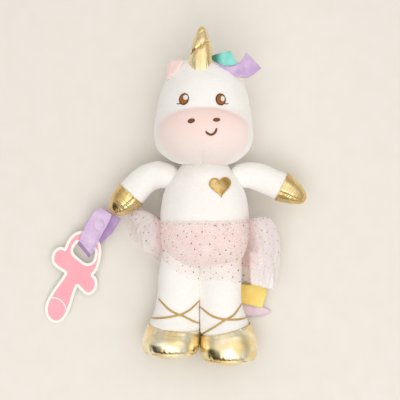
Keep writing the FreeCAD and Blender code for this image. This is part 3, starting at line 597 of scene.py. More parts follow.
# the third face colour is the pale pink painted towards the chin: painted light
FACE = plush("face_plush", (252, 250, 246), (247, 243, 237), ((252, 221, 213), (251, 217, 209), (255, 243, 237)))
EAR_PINK = plush("ear_plush", (252, 227, 221), (247, 212, 206))
EAR_BACK = plush("ear_back_plush", (252, 242, 237), (246, 230, 224))
GOLD = foil("gold_foil", (253, 237, 194), (241, 215, 158), (255, 248, 220))
GOLD_HOOF = foil("gold_foil_hoof", (230, 200, 134), (214, 180, 112), (240, 216, 162))
GOLD_FLAT = foil("gold_foil_patch", (214, 178, 108), (194, 152, 84), (230, 202, 138), 0.4)
BROWN = thread("brown_thread", (188, 118, 58), (140, 82, 36), 20)
NOSE = thread("nose_thread", (150, 92, 50), (104, 58, 28), 20)
BROWN_EDGE = thread("brown_edge_thread", (104, 56, 24), (70, 34, 14), 20)
GOLD_THREAD = thread("gold_thread", (232, 200, 134), (182, 144, 80), 35, 1.8, 0.45, 0.38)
SHINE = thread("white_thread", (255, 253, 249), (236, 232, 226), 0)
# the teal ribbon's end next to the horn is painted dark green: painted shade cast by the horn
TEAL = ribbon_cloth("teal_ribbon", (150, 232, 220), (120, 212, 200), 10, 0.38, (0.0095, 0.0165, (56, 124, 104)))
LILAC = ribbon_cloth("lilac_ribbon", (229, 202, 234), (198, 166, 214), 35)
STRAP = ribbon_cloth("strap_ribbon", (232, 208, 236), (216, 186, 226), 31, 0.30)
# the rear leaf is the same ribbon as the front leaf, painted darker: painted shade, as it lies lower than the front
# leaf
STRAP_PAINTED_SHADE = ribbon_cloth("strap_rear_ribbon_painted_shade", (196, 164, 208), (176, 142, 192), 31, 0.38)
YELLOW = ribbon_cloth("yellow_ribbon", (255, 234, 140), (255, 218, 108), 5)
TAIL_LILAC = ribbon_cloth("tail_lilac_ribbon", (246, 224, 232), (234, 206, 222), 5)
LABEL = ribbon_cloth("label_tape", (248, 243, 240), (240, 234, 230), 0, 0.5)
TULLE = net("pink_tulle", (255, 230, 230), 0.06)
TULLE_IN = net("pink_tulle_inner", (255, 217, 217), 0.11)
GLITTER = foil("glitter_gold", (214, 166, 104), (176, 128, 76), (240, 202, 140), 0.2)
BOARD = paper("card_board", (255, 252, 246), (249, 245, 238))
PRINT = paper("card_print", (255, 176, 186), (252, 164, 175), 0.45, 0.15)
SNAP = paper("snap_plastic", (226, 206, 236), (214, 190, 228), 0.3, 0.3)
FLOOR = paper("table_top", (237, 232, 224), (234, 229, 220), 0.85)


def dress(ob, mat):
    ob.data.materials.clear()
    ob.data.materials.append(mat)
    return ob


# ------------------------------------------------------------------ measures
TRUNK = [
    (38.5, 1, 10.0, 9.0, 28), (36.5, 1, 14.4, 12.8, 28), (33, 1, 18.6, 16.8, 28),
    (29, 1, 21.9, 19.5, 28), (25, 1, 24.2, 21.8, 28), (20, 1, 28.5, 24.0, 28),
    (13, 1, 32.8, 26.8, 28), (5, 1, 36.3, 28.8, 28), (-5, 1, 38.3, 29.4, 28.4),
    (-12, 1, 38.9, 28.6, 29.4), (-18, 1, 39.0, 27.8, 30.4), (-26, 1, 38.8, 27.7, 30.6),
    (-36, 1, 38.2, 26.6, 29.8), (-44, 1, 36.6, 24.6, 29.0), (-52, 1, 33.0, 20.5, 28.0),
    (-57, 1, 27.0, 15.5, 27.5), (-60, 1, 17.0, 8.0, 27.0),
]
HEAD = [
    (122.6, 2.2, 13.0, 9.0, 36), (121.6, 2.2, 20.0, 14.5, 36), (119.6, 2.2, 25.5, 19.5, 36),
    (115.5, 2.0, 29.7, 24.0, 36), (109, 1.6, 32.4, 28.5, 36), (100, 0.8, 35.9, 32.8, 36),
    (90, 0.2, 38.8, 35.4, 36), (79, 0, 40.9, 37.0, 36), (67, 0, 42.7, 37.8, 36),
    (57, 0, 43.5, 37.8, 36), (48, 0, 42.0, 36.2, 36), (42, 0.2, 38.6, 33.2, 36),
    (37, 0.5, 32.5, 29.0, 36), (33, 1.0, 26.0, 24.5, 36), (31, 1.2, 20.0, 19.0, 36),
]
RIGHT_LEG = [
    (-36, -20.4, 11.0, 11.0, 27), (-40, -20.6, 14.6, 14.2, 26.4), (-50, -20.8, 16.4, 16.1, 26), (-54, -21.0, 16.8, 16.2, 25.8), (-66, -21.9, 17.8, 16.0, 24.8),
    (-79, -22.4, 18.3, 15.8, 23.6), (-92, -23.3, 19.0, 15.8, 22.4), (-103, -24.8, 20.6, 16.8, 22),
    (-110, -26.3, 22.2, 19.0, 22.8), (-118, -27.8, 23.8, 22.0, 24), (-126, -28.8, 24.6, 24.6, 25.1),
    (-131, -28.8, 23.9, 23.8, 25.1), (-134.5, -28.7, 21.9, 21.8, 25.1), (-137.2, -28.6, 18.2, 18.1, 25.2), (-138.6, -28.4, 13.5, 13.4, 25.2),
]
LEFT_LEG = [
    (-36, 17.0, 11.0, 11.0, 27), (-40, 16.8, 14.6, 14.2, 26.4), (-50, 16.6, 16.4, 16.1, 26), (-54, 16.2, 17.4, 16.2, 25.8), (-70, 15.5, 18.2, 16.0, 24.6),
    (-88, 15.6, 18.3, 15.8, 23.0), (-101, 17.2, 19.9, 16.4, 22), (-107, 18.5, 21.2, 17.5, 22.3),
    (-112, 19.6, 22.3, 19.2, 23), (-120, 21.4, 24.0, 22.5, 23.8), (-130, 22.3, 24.6, 24.5, 24.9),
    (-136.5, 22.4, 23.7, 23.6, 24.9), (-140.2, 22.4, 21.8, 21.7, 24.9), (-143, 22.4, 18.0, 17.9, 24.9), (-144.4, 22.4, 13.4, 13.3, 24.9),
]
HORN = [
    (107, -2.4, 10.9, 10.8, 52.5), (113, -2.3, 10.8, 10.7, 52.5), (119, -2.2, 10.4, 10.3, 52.5),
    (127, -2.0, 9.4, 9.3, 52.5), (136, -1.7, 7.4, 7.3, 52.5), (143, -1.5, 5.2, 5.1, 52.5),
    (147.5, -1.4, 3.4, 3.3, 52.5), (149.4, -1.3, 1.7, 1.6, 52.5),
]
ARMS = {
    "right_arm": [
        (-24, 20.0, 27, 8.0, 8.0, 177), (-32, 21.5, 27, 10.9, 10.8, 177), (-39, 22.4, 27, 12.0, 11.5, 187), (-46.6, 20.6, 26.5, 12.4, 11.6, 206),
        (-54.6, 15.4, 26, 12.6, 11.5, 220), (-60, 9.8, 25.5, 13.0, 11.4, 226), (-63.8, 5.4, 25, 13.2, 11.3, 228),
        (-70, -0.9, 24, 12.0, 10.4, 226), (-75.5, -5.6, 23.2, 9.3, 8.6, 222), (-79.5, -8.8, 22.6, 5.9, 5.6, 220),
        (-81.6, -10.4, 22.3, 2.6, 2.2, 219),
    ],
    "left_arm": [
        (25.5, 20.5, 27, 8.0, 8.0, 3), (33.5, 21.5, 27, 10.9, 10.8, 3), (41, 22.0, 27, 11.7, 11.4, -8), (49, 20.0, 26.6, 12.2, 11.5, -19),
        (57, 16.8, 26.2, 12.4, 11.4, -24), (64, 13.9, 25.8, 12.5, 11.3, -24), (68.6, 11.8, 25.5, 12.7, 11.2, -26),
        (76, 8.0, 25, 10.9, 10.0, -28), (83, 4.0, 24.4, 8.2, 8.0, -30), (87.5, 1.2, 24, 5.3, 5.0, -31),
        (89.8, -0.3, 23.8, 2.4, 2.0, -31),
    ],
}
ROOT = 1                          # the arm row at the shoulder pivot
CUFF = 6                          # the arm row that the hoof starts at
VOXEL = 1.15

# ------------------------------------------------------------------ torso
g, _ = rings_y(TRUNK, np.linspace(38.5, -60, 90), 96)
torso = closed_loft("torso_raw", g)
torso = remesh("torso_plush", [torso, ball("neck_ball", (1, 14, 28), 26.4)], VOXEL, 5)
lumps(torso, 0.7, 26, 1.0)
side_seam = [[(-38 + 0.4 * k, 30 - 8 * k, 28) for k in range(9)]]
co = coords(torso)
n = normals(torso)
seam = np.exp(-((co[:, 2] - 28.0) / 1.1) ** 2) * (np.abs(co[:, 0] - 1) > 20)
put(torso, soft_floor(co - n * (0.55 * seam)[:, None]))
dress(torso, WHITE)
torso_tree = tree(torso)

# ------------------------------------------------------------------ head
g, _ = rings_y(HEAD, np.linspace(122.6, 31, 90), 110)
head = closed_loft("head_raw", g)
muzzle = ball("muzzle_ball", (0.3, 60.5, 41.5), (42.8, 33.5, 38.6))
co = coords(muzzle)
co[:, 1] = np.maximum(co[:, 1], 31.5)
put(muzzle, co)
head = remesh("head_plush", [head, muzzle], VOXEL, 28)
lumps(head, 0.55, 24, 4.0)
co = coords(head)
n = normals(head)
seam = np.exp(-((co[:, 2] - 36.0) / 1.2) ** 2)
co = soft_floor(co - n * (0.6 * seam)[:, None])
put(head, co)


def pink_side(p):
    """How far inside the pink muzzle panel a point is, in mm; below 0 is outside."""
    dx, dy = p[:, 0] - 0.3, p[:, 1] - 46.0
    arch = (1 - np.sqrt((dx / 49.9) ** 2 + (dy / 32.3) ** 2)) * 33.0
    low = np.clip((p[:, 2] - 51.5) * 0.85, -30, 30)
    sides = (40.6 - np.abs(dx)) * 0.9
    return -2.5 * np.log(np.exp(-np.clip(arch, -60, 60) / 2.5) + np.exp(-low / 2.5) + np.exp(-sides / 2.5)) + 0.6


side = pink_side(co)
n = normals(head)
# the panel's seam is a soft dip, and the panel stands a little proud
co = co - n * (0.45 * np.exp(-(side / 1.3) ** 2) * (co[:, 2] > 37))[:, None] + n * (0.35 * ease(0.5, 7, side))[:, None]
put(head, co)
d, w = to_line(co[:, :2], [at(203.5, 151, 76)[:2], at(203.2, 158, 72)[:2], at(203.0, 168, 62)[:2]])
n = normals(head)
co = co - n * (1.3 * np.exp(-(d / 0.9) ** 2) * (co[:, 2] > 44))[:, None]
put(head, co)
head_tree = tree(head)
attr = head.data.attributes.new("pink_side", "FLOAT", "POINT")
attr.data.foreach_set("value", pink_side(coords(head)).astype(np.float32))
dress(head, FACE)


def sewn_on(ob, name):
    """The muzzle panel: the pink side of the skin, standing proud, with its edge turned under."""
    bm = bmesh.new()
    bm.from_mesh(ob.data)
    gone = [f for f in bm.faces if pink_side(np.array([(f.calc_center_median() / MM)[:]]))[0] < -0.2]
    bmesh.ops.delete(bm, geom=gone, context="FACES")
    me = bpy.data.meshes.new(name)
    bm.to_mesh(me)
    bm.free()
    out = bpy.data.objects.new(name, me)
    scene.collection.objects.link(out)
    me.shade_smooth()
    return out


muzzle_panel = sewn_on(head, "muzzle_plush")
co, n = coords(head), normals(head)
inner = pink_side(co)
p = coords(muzzle_panel)
skin = BVHTree.FromPolygons([tuple(v) for v in co], [tuple(f.vertices) for f in head.data.polygons])
lie = np.array([n[f.vertices[0]] for f in head.data.polygons])
out_dir = np.array([lie[skin.find_nearest(tuple(v))[2]] for v in p])
put(muzzle_panel, p + out_dir * (-0.9 + 1.25 * ease(-0.4, 3.2, pink_side(p)))[:, None])
put(head, co - n * (0.7 * ease(2.5, 6.5, inner))[:, None])
head.name = head.data.name = "head_plush_panels"
head_panel = head
dress(muzzle_panel, FACE)
s = muzzle_panel.modifiers.new("fabric", "SOLIDIFY")
s.thickness = 1.2 * MM
s.offset = -1.0
head_tree = tree(head)
muzzle_tree = tree(muzzle_panel)
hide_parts("head_front_panel", "head_back_panel", "head_stuffing")
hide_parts("muzzle_panel")
for piece in (head_panel, muzzle_panel):
    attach(piece, "head")

# ------------------------------------------------------------------ face
def oval(centre, wide, tall, lean, z, n=22):
    cx, cy = at(*centre, z)[:2]
    c, s = math.cos(math.radians(lean)), math.sin(math.radians(lean))
    return [(cx + c * wide * math.cos(a) - s * tall * math.sin(a), cy + s * wide * math.cos(a) + c * tall * math.sin(a))
            for a in np.linspace(0, 2 * np.pi, n, endpoint=False)]


def on_skin(line, lift):
    path, ups = [], []
    for x, y in line:
        p, nn, _ = drop(trees, x, y)
        path.append(p + nn * lift)
        ups.append(nn)
    return path, ups


trees = [head_tree, muzzle_tree]
face = []
for node, centre, wide, tall, lean, glint, gw, gt, lash in (
        ("right", (184.1, 98.9), 4.0, 4.9, -14, (185.9, 97.3), 2.3, 2.45, ((180.6, 103.2), (178.6, 103.5), (176.4, 103.0))),
        ("left", (220.6, 99.3), 4.15, 4.95, 6, (222.5, 98.5), 1.95, 2.5, ((224.2, 103.4), (226.4, 103.6), (228.6, 103.0)))):
    outline = oval(centre, wide, tall, lean, 72)
    e = dress(patch(node + "_eye_stitching", outline, trees, 0.8, 0.35), BROWN)
    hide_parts(node + "_eye")
    ring = rounded(oval(centre, wide - 0.35, tall - 0.35, lean, 72), 60, True)
    path, ups = on_skin(np.vstack([ring, ring[:1]]), 0.5)
    rim = dress(tube(node + "_eye_rim_stitching", path, 0.55, 8, 0.7, ups), BROWN_EDGE)
    s = dress(patch(node + "_eye_glint_stitching", oval(glint, gw, gt, 0, 72, 14), trees, 1.2, 0.3), SHINE)
    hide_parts(node + "_eye_glint")
    path, ups = on_skin(rounded([at(*q, 72)[:2] for q in lash], 16), 0.15)
    lash_thread = dress(tube(node + "_eyelash_stitching", path, 0.36, 8, 0.8, ups, 0.6), BROWN_EDGE)
    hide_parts(node + "_eyelash")
    face += [e, rim, s, lash_thread]
for name, centre, wide, tall, lean, node in (("right_nostril_stitching", (191.3, 120.9), 3.2, 2.0, 15, "right_nostril"),
                                             ("left_nostril_stitching", (216.6, 119.8), 3.1, 1.7, 4, "left_nostril")):
    cx, cy = at(*centre, 79)[:2]
    c, s = math.cos(math.radians(lean)), math.sin(math.radians(lean))
    ring = [(cx + c * wide * math.cos(a) - s * tall * math.sin(a), cy + s * wide * math.cos(a) + c * tall * math.sin(a))
            for a in np.linspace(0, 2 * np.pi, 18, endpoint=False)]
    e = dress(patch(name, ring, trees, 0.75, 0.35), NOSE)
    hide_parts(node)
    face.append(e)
mouth = rounded([at(x, y, 80)[:2] for x, y in ((205.6, 131.2), (208.2, 133.8), (211.5, 134.6), (214.4, 133.0), (216.0, 130.4), (216.6, 128.0))], 40)
path, ups = [], []
for x, y in mouth:
    p, nn, _ = drop(trees, x, y)
    path.append(p + nn * 0.25)
    ups.append(nn)
smile = dress(tube("smile_stitching", path, 0.98, 12, 0.75, ups, 0.6), NOSE)
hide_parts("smile")
face.append(smile)
for e in face:
    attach(e, "head")


# ------------------------------------------------------------------ chest heart
def heart_outline(cx, cy, k, turn):
    out = []
    for a in np.linspace(0, 2 * np.pi, 60, endpoint=False):
        x = 0.98 * math.sin(a) ** 3
        y = (13 * math.cos(a) - 5 * math.cos(2 * a) - 2 * math.cos(3 * a) - math.cos(4 * a)) / 16.5
        c, s = math.cos(turn), math.sin(turn)
        out.append((cx + k * (c * x - s * y), cy + k * (s * x + c * y)))
    return out


hx, hy = at(220.3, 185.8, 56)[:2]
outline = heart_outline(hx, hy, 9.4, math.radians(5))
heart = dress(patch("heart_patch", outline, [torso_tree], 0.95, 0.45, 0.5, 2.4), GOLD_FLAT)
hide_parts("chest_heart")
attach(heart, "trunk")
border = rounded(outline, 150, True)
path, ups = [], []
for x, y in np.vstack([border, border[:1]]):
    p, nn, _ = drop([torso_tree], x, y)
    path.append(p + nn * 0.25)
    ups.append(nn)
edge = dress(tube("heart_stitched_edge", path, 0.55, 8, 0.8, ups), GOLD_THREAD)
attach(edge, "trunk")

# ------------------------------------------------------------------ ears
for sgn, tag, spots in ((-1, "right", ((-31.6, 103.6, 49), (-29.6, 119.4, 50), (-17.4, 119.8, 55), (-24.5, 111.0, 58))),
                        (1, "left", ((33.6, 103.6, 49), (31.6, 118.0, 49), (20.4, 119.2, 54), (27.5, 111.0, 57)))):
    a, b, c, m = [np.array(s, float) for s in spots]
    out = rounded([a, (a + b) / 2 + np.array([sgn * 0.9, 0.8, 0]), b, (b + c) / 2 + np.array([0, 1.2, 0]), c, (c + a) / 2 + np.array([-sgn * 1.2, -1.0, 2.0])], 48, True)
    mid = out.mean(0)
    nn = np.cross(b - a, c - a)
    nn /= np.linalg.norm(nn)
    nn *= 1 if nn[2] > 0 else -1
    for part, grow, lift, thick, mat, body, slot in (("outer", 1.0, 0.0, 2.4, EAR_BACK, "_ear_outer", "white_plush"),
                                                     ("lining", 0.95, 0.9, 2.15, EAR_PINK, "_ear_lining", "pink_plush")):
        rows = []
        for q in np.linspace(-1, 1, 15):
            r = math.sqrt(max(0.0, 1 - abs(q) ** 2.6)) * grow
            rows.append(mid + (out - mid) * max(r, 0.03) + nn * (q * thick + lift + (1 - (r / grow) ** 2) * 0.0))
        e = closed_loft(tag + "_ear_" + part + "_plush", np.array(rows))
        lumps(e, 0.35, 7, 8.0 + sgn)
        dress(e, mat)
        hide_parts(tag + body)
        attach(e, "head")

# ------------------------------------------------------------------ horn
rows = 150
ys = 107 + (149.4 - 107) * np.linspace(0, 1, rows) ** 0.92
g, th = rings_y(HORN, ys, 128)
n = grid_normals(g)
if (n[20, 0] @ np.array([1, 0, 0])) < 0:
    n = -n
TH = np.tile(th, (rows, 1))
Y = g[:, :, 1]
X = g[:, :, 0] + 1.9
Z = g[:, :, 2] - 52.5
turn_line = 131.6 + 0.66 * X + 0.16 * Z          # the diagonal pull of the stitched spiral
turn_low = 117.0 + 0.66 * X - 0.30 * Z
turn_high = 143.6 + 0.66 * X + 0.1 * Z
pull = 1.0 * np.exp(-((Y - turn_line) / 1.3) ** 2) + 0.25 * np.exp(-((Y - turn_high) / 0.9) ** 2)
pull += 0.8 * np.exp(-((Y - 132.2) / 2.2) ** 2 - ((TH - 1.62) / 0.33) ** 2)
puff = 0.35 * np.exp(-((Y - turn_line - 4.6) / 3.4) ** 2) + 0.4 * np.exp(-((Y - turn_line + 5.2) / 4.0) ** 2)
crimp = 0.15 * np.sin(TH * 13 + 1.4 * np.sin(TH * 3) + Y * 0.22) * np.exp(-np.abs(Y - turn_line) / 3.6)
foot = 0.16 * np.sin(TH * 17 + np.sin(TH * 5)) * np.exp(-((Y - 113.5) / 4.0) ** 2)
flat = g.reshape(-1, 3)
drift = fbm(flat * np.array([1.0, 0.45, 1.0]), 5.5, 2.0, 3).reshape(rows, 128)
g = g + n * (puff - pull + crimp + foot + 0.16 * drift)[:, :, None] * (ease(149.6, 146.5, Y)[:, :, None] * 0.9 + 0.1)
horn = dress(closed_loft("horn_foil", g), GOLD)
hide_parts("horn_foil_cover", "horn_stuffing")
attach(horn, "head")
horn_tree = tree(horn)
path, ups = [], []
for a in np.linspace(-0.7, 3.9, 60):
    way = np.array([math.cos(a), 0, math.sin(a)])
    r = 7.6
    y = 131.6
    for _ in range(6):
        y = 131.6 + 0.66 * (r * way[0]) + 0.16 * (r * way[2])
        hit = horn_tree.ray_cast(Vector((-1.9 + way[0] * 40, y, 52.5 + way[2] * 40)) * MM, Vector((-way[0], 0, -way[2])))
        if hit[0] is None:
            break
        p = np.array(hit[0]) / MM
        r = math.hypot(p[0] + 1.9, p[2] - 52.5)
    path.append(p)
    ups.append(way)
spiral = dress(tube("horn_stitched_thread", path, 0.4, 8, 1.0, ups, 0.5), GOLD_THREAD)
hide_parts("horn_spiral_thread")
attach(spiral, "head")

# ------------------------------------------------------------------ arms and hooves
arm_trees = {}
for side_name, seam_at in (("right_arm", math.radians(70)), ("left_arm", math.radians(112))):
    tag = side_name.split("_")[0]
    table = np.array(ARMS[side_name], float)
    run = np.concatenate([[0], np.cumsum(np.linalg.norm(np.diff(table[:, :3], axis=0), axis=1))])
    total = run[-1]
    cuff = run[CUFF] / total
    # the white sleeve, tucked a little way into the hoof
    g, th, _ = rings_arm(table, np.linspace(0, cuff + 5.0 / total, 70), 72)
    t = np.linspace(0, cuff + 5.0 / total, 70)
    shrink = 0.8 * ease(cuff - 0.6 / total, cuff + 1.5 / total, t)
    mid = g.mean(1, keepdims=True)
    g = mid + (g - mid) * (1 - shrink / 12.5)[:, None, None]
    arm = closed_loft(side_name + "_raw", g)
    arm = remesh(side_name + "_plush", [arm, ball("root", table[ROOT, :3], 10.6)], VOXEL, 3)
    lumps(arm, 0.5, 15, 11.0)
    co = coords(arm)
    n = normals(arm)
    shoulder = np.linalg.norm(co - table[ROOT, :3], axis=1)
    seam = np.exp(-((co[:, 2] - 26.0) / 0.9) ** 2) * ease(16, 20, shoulder)
    put(arm, co - n * (0.45 * seam)[:, None])
    dress(arm, WHITE)
    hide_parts(side_name + "_sleeve", side_name + "_stuffing")
    arm_trees[tag] = tree(arm)
    start = table[ROOT, :3]
    end = table[ROOT + 2, :3] * np.array([1, 0, 0]) + start * np.array([0, 1, 1])
    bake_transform(arm)
    # the foil hoof
    t = np.concatenate([[cuff + 2.2 / total, cuff + 0.8 / total], np.linspace(cuff, 1.0, 90)])
    g, th, _ = rings_arm(table, t, 120, 0.55)
    mid = g.mean(1, keepdims=True)
    g[0] = mid[0] + (g[0] - mid[0]) * 0.86
    g[1] = mid[1] + (g[1] - mid[1]) * 0.93
    n = grid_normals(g)
    if ((g[30] - mid[30]) * n[30]).sum() < 0:
        n = -n
    TH = np.tile(th, (len(t), 1))
    T = np.tile(((t - cuff) * total)[:, None], (1, 120))
    away = np.angle(np.exp(1j * (TH - seam_at)))
    back = np.angle(np.exp(1j * (TH - seam_at - math.pi * 1.02)))
    width = 0.075 + 0.0 * T
    groove = 0.75 * np.exp(-(away / width) ** 2) + 0.6 * np.exp(-(back / width) ** 2)
    pucker = 0.16 * np.sin(T * 2.1 + 1.5 * np.sin(T * 0.7)) * (np.exp(-np.abs(away) / 0.22) + 0.6 * np.exp(-np.abs(back) / 0.25))
    rim = 0.15 * np.exp(-((T - 1.0) / 1.0) ** 2) - 0.12 * np.exp(-((T - 3.4) / 1.0) ** 2)
    gather = 0.10 * np.sin(TH * 19 + 2 * np.sin(TH * 4)) * np.exp(-np.abs(T - 1.5) / 3.2)
    drift = fbm(g.reshape(-1, 3), 7.5, 5.0 if tag == "left" else 6.0, 3).reshape(T.shape)
    tip = ease(0.0, 3.0, (1 - t)[:, None] * total)
    g = g + n * ((rim + gather + pucker - groove + 0.14 * drift) * (0.25 + 0.75 * tip))[:, :, None] * (np.arange(len(t)) > 1)[:, None, None]
    hoof = dress(closed_loft(tag + "_hoof_foil", g), GOLD_HOOF)
    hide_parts(tag + "_hoof")
    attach(hoof, side_name)
    path = g[6:-4, int(round(seam_at / (2 * math.pi) * 120)) % 120]
    stitch = dress(tube(tag + "_hoof_seam", path, 0.22, 6, 1.0, n[6:-4, int(round(seam_at / (2 * math.pi) * 120)) % 120]), GOLD_THREAD)
    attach(stitch, side_name)

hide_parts("trunk_front_panel", "trunk_back_panel", "trunk_stuffing", "seat_panel", "seat_stuffing")
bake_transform(torso)

# ------------------------------------------------------------------ legs, bootees, laces
LACES = {
    "right": [[(158.6, 299.6), (164, 305), (170, 310.4), (176.5, 313.8), (184, 316.8), (192, 321.4), (199.4, 324.8)],
              [(151.6, 319.6), (157, 319), (165, 318), (175, 316.2), (183, 314), (190, 310), (195, 305.6), (199.8, 301)]],
    "left": [[(199.8, 307.6), (204, 310.8), (212, 316.2), (222, 319.2), (235, 320.2), (248.6, 319)],
             [(202.4, 335.6), (206, 332.4), (215, 327), (225, 320.4), (233, 316), (239, 309), (243.6, 302.4)]],
}
for tag, table, top_y, lean, sag in (("right", RIGHT_LEG, -111.5, -0.123, 2.4), ("left", LEFT_LEG, -114.0, 0.23, 1.2)):
    body = tag + "_leg"
    t = np.array(table, float)
    cx = np.interp(-top_y, -t[:, 0], t[:, 1])
    g, th = rings_y(table, np.linspace(-36, -122, 90), 84)
    mid = g.mean(1, keepdims=True)
    inside = ease(top_y - 1.5, top_y - 7.0, g[:, :, 1:2])
    g = mid + (g - mid) * (1 - 0.10 * inside)
    inward = np.clip(np.cos(th) * (1 if tag == "right" else -1), 0, 1)[None, :] ** 2
    fill_in = ease(-42, -56, g[:, :, 1]) * (1.55 - 1.0 * ease(-78, -104, g[:, :, 1]))
    g[:, :, 0] += (1 if tag == "right" else -1) * inward * fill_in
    leg = remesh(body + "_plush", [closed_loft("leg_raw", g)], VOXEL, 3)
    lumps(leg, 0.55, 20, 21.0 if tag == "left" else 23.0)
    co = coords(leg)
    n = normals(leg)
    seam = np.exp(-((co[:, 2] - 24.0) / 1.0) ** 2)
    put(leg, soft_floor(co - n * (0.4 * seam)[:, None]))
    dress(leg, WHITE)
    leg_tree = tree(leg)
    # the bootee upper: top edge slants, and the seam at the toe pulls it into creases
    ys = np.concatenate([[top_y - 3.0, top_y - 1.2], np.linspace(top_y, t[-1, 0], 110)])
    g, th = rings_y(table, ys, 168, 0.9)
    mid = g.mean(1, keepdims=True)
    g[0] = mid[0] + (g[0] - mid[0]) * 0.88
    g[1] = mid[1] + (g[1] - mid[1]) * 0.95
    n = grid_normals(g)
    if ((g[40] - mid[40]) * n[40]).sum() < 0:
        n = -n
    TH = np.tile(th, (len(ys), 1))
    Y = g[:, :, 1]
    toe = t[-1, 0] + 3.6                           # where the sole is sewn on
    fade = ease(top_y - 16.0, top_y, Y)
    shift = (lean * (g[:, :, 0] - cx) - sag * np.sin(TH)) * fade
    row = curve(t[:, 0], t[:, 1:], (Y + shift).ravel()).reshape(Y.shape + (4,))
    over = 0.35 + 0.55 * ease(top_y, top_y - 5, Y)
    g[2:, :, 0] = (row[:, :, 0] + (row[:, :, 1] + over) * np.cos(TH))[2:]
    g[2:, :, 2] = (row[:, :, 3] + (row[:, :, 2] + over) * np.sin(TH))[2:]
    drift = fbm(g.reshape(-1, 3) * np.array([1.0, 0.8, 1.0]), 13.0, 31.0 if tag == "left" else 33.0, 1).reshape(Y.shape)
    pleat = np.sin(TH * 23 + 2.2 * np.sin(TH * 3 + 1)) + 0.6 * np.sin(TH * 37 + 1.0)
    toe_crease = 0.26 * pleat * np.exp(-np.abs(Y - toe) / 3.0)
    toe_groove = 0.8 * np.exp(-((Y - toe) / 0.8) ** 2)
    rim = 0.12 * np.exp(-((Y - top_y + 1.2) / 1.1) ** 2) - 0.1 * np.exp(-((Y - top_y + 4.0) / 1.2) ** 2)
    gather = 0.10 * np.sin(TH * 21 + 1.7 * np.sin(TH * 4)) * np.exp(-np.abs(Y - top_y + 1.0) / 5.0)
    g = g + n * ((rim + gather + toe_crease - toe_groove + 0.26 * drift) * (np.arange(len(ys)) > 1)[:, None])[:, :, None]
    g[:, :, 1] += shift
    g = soft_floor(g, 0.3, 0.6)
    boot = dress(closed_loft(tag + "_bootee_foil", g), GOLD)
    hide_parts(tag + "_bootee_upper", body + "_stuffing")
    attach(boot, body)
    # the sole, an oval of the same foil
    ring = np.linspace(0, 2 * np.pi, 120, endpoint=False)
    end = t[-1]
    end_y = end[0]
    tuck, _ = rings_y(table, np.array([toe + 1.4, toe + 0.5]), 120, 0.2)
    skirt_, _ = rings_y(table, np.linspace(toe, end_y, 12), 120, 1.35)
    rows_ = list(tuck) + list(skirt_)
    mid_end = skirt_[-1].mean(0)
    for r, dy in ((0.86, -0.5), (0.66, -0.8), (0.42, -1.0), (0.18, -1.1), (0.03, -1.1)):
        rows_.append(mid_end + (skirt_[-1] - mid_end) * r + np.array([0, dy, 0]))
    for q, row in enumerate(rows_):
        wob = 1 + 0.010 * np.sin(ring * 23 + 2.2 * np.sin(ring * 3 + 1)) * (1 if 2 < q < 10 else 0)
        rows_[q] = row.mean(0) + (row - row.mean(0)) * wob[:, None]
    sole = closed_loft(tag + "_bootee_sole_foil", np.array(rows_))
    put(sole, soft_floor(coords(sole), 0.3, 0.6))
    dress(sole, GOLD)
    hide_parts(tag + "_bootee_sole")
    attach(sole, body)
    boot_tree = tree(boot)
    # the laces, thin gold cord sewn across the ankle, running on round the sides
    for i, px in enumerate(LACES[tag]):
        line = rounded([at(x, y, 40)[:2] for x, y in px], 46)
        path, ups = [], []
        for x, y in line:
            hit = drop([leg_tree, boot_tree], x, y)
            if hit is None or hit[0][2] < 20:
                continue
            path.append(hit[0] + hit[1] * 0.35)
            ups.append(hit[1])
        path, ups = np.array(path), np.array(ups)
        keep = path[:, 2] > 23
        path, ups = path[keep], ups[keep]
        for k in range(3):
            path[1:-1] = (path[:-2] + path[1:-1] * 2 + path[2:]) / 4
        s = np.linspace(0, 1, len(path))
        lace = dress(tube("%s_lace_%d" % (tag, i + 1), path, 0.92, 10, 0.75, ups, 0.3), GOLD_THREAD)
        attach(lace, body)
    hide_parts(tag + "_leg_laces")
    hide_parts(body + "_sleeve")
    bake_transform(leg)


# ------------------------------------------------------------------ ribbons
def sheet_between(name, a, b, rows=40, cols=14, bow=0.0, wave=0.0, waves=2.0, thick=0.35, twist=0.0):
    """A strip of cloth between two edges; both are lists of points in mm."""
    a, b = rounded(a, rows), rounded(b, rows)
    s = np.linspace(0, 1, rows)[:, None, None]
    q = np.linspace(0, 1, cols)[None, :, None]
    g = a[:, None, :] * (1 - q) + b[:, None, :] * q
    lift = bow * 4 * q * (1 - q) + wave * np.sin(s * math.pi * 2 * waves + q * 1.3) * s
    g = g + lift * np.array([0, 0, 1.0])
    ob = make(name, g.reshape(-1, 3), grid_faces(rows, cols, False))
    m = ob.modifiers.new("cloth", "SOLIDIFY")
    m.thickness = thick * MM
    m.offset = 0.0
    return ob, g


def area_of(g):
    g = np.asarray(g)
    a = np.cross(g[1:, :-1] - g[:-1, :-1], g[:-1, 1:] - g[:-1, :-1])
    b = np.cross(g[1:, :-1] - g[1:, 1:], g[:-1, 1:] - g[1:, 1:])
    return (np.linalg.norm(a, axis=2).sum() + np.linalg.norm(b, axis=2).sum()) / 2


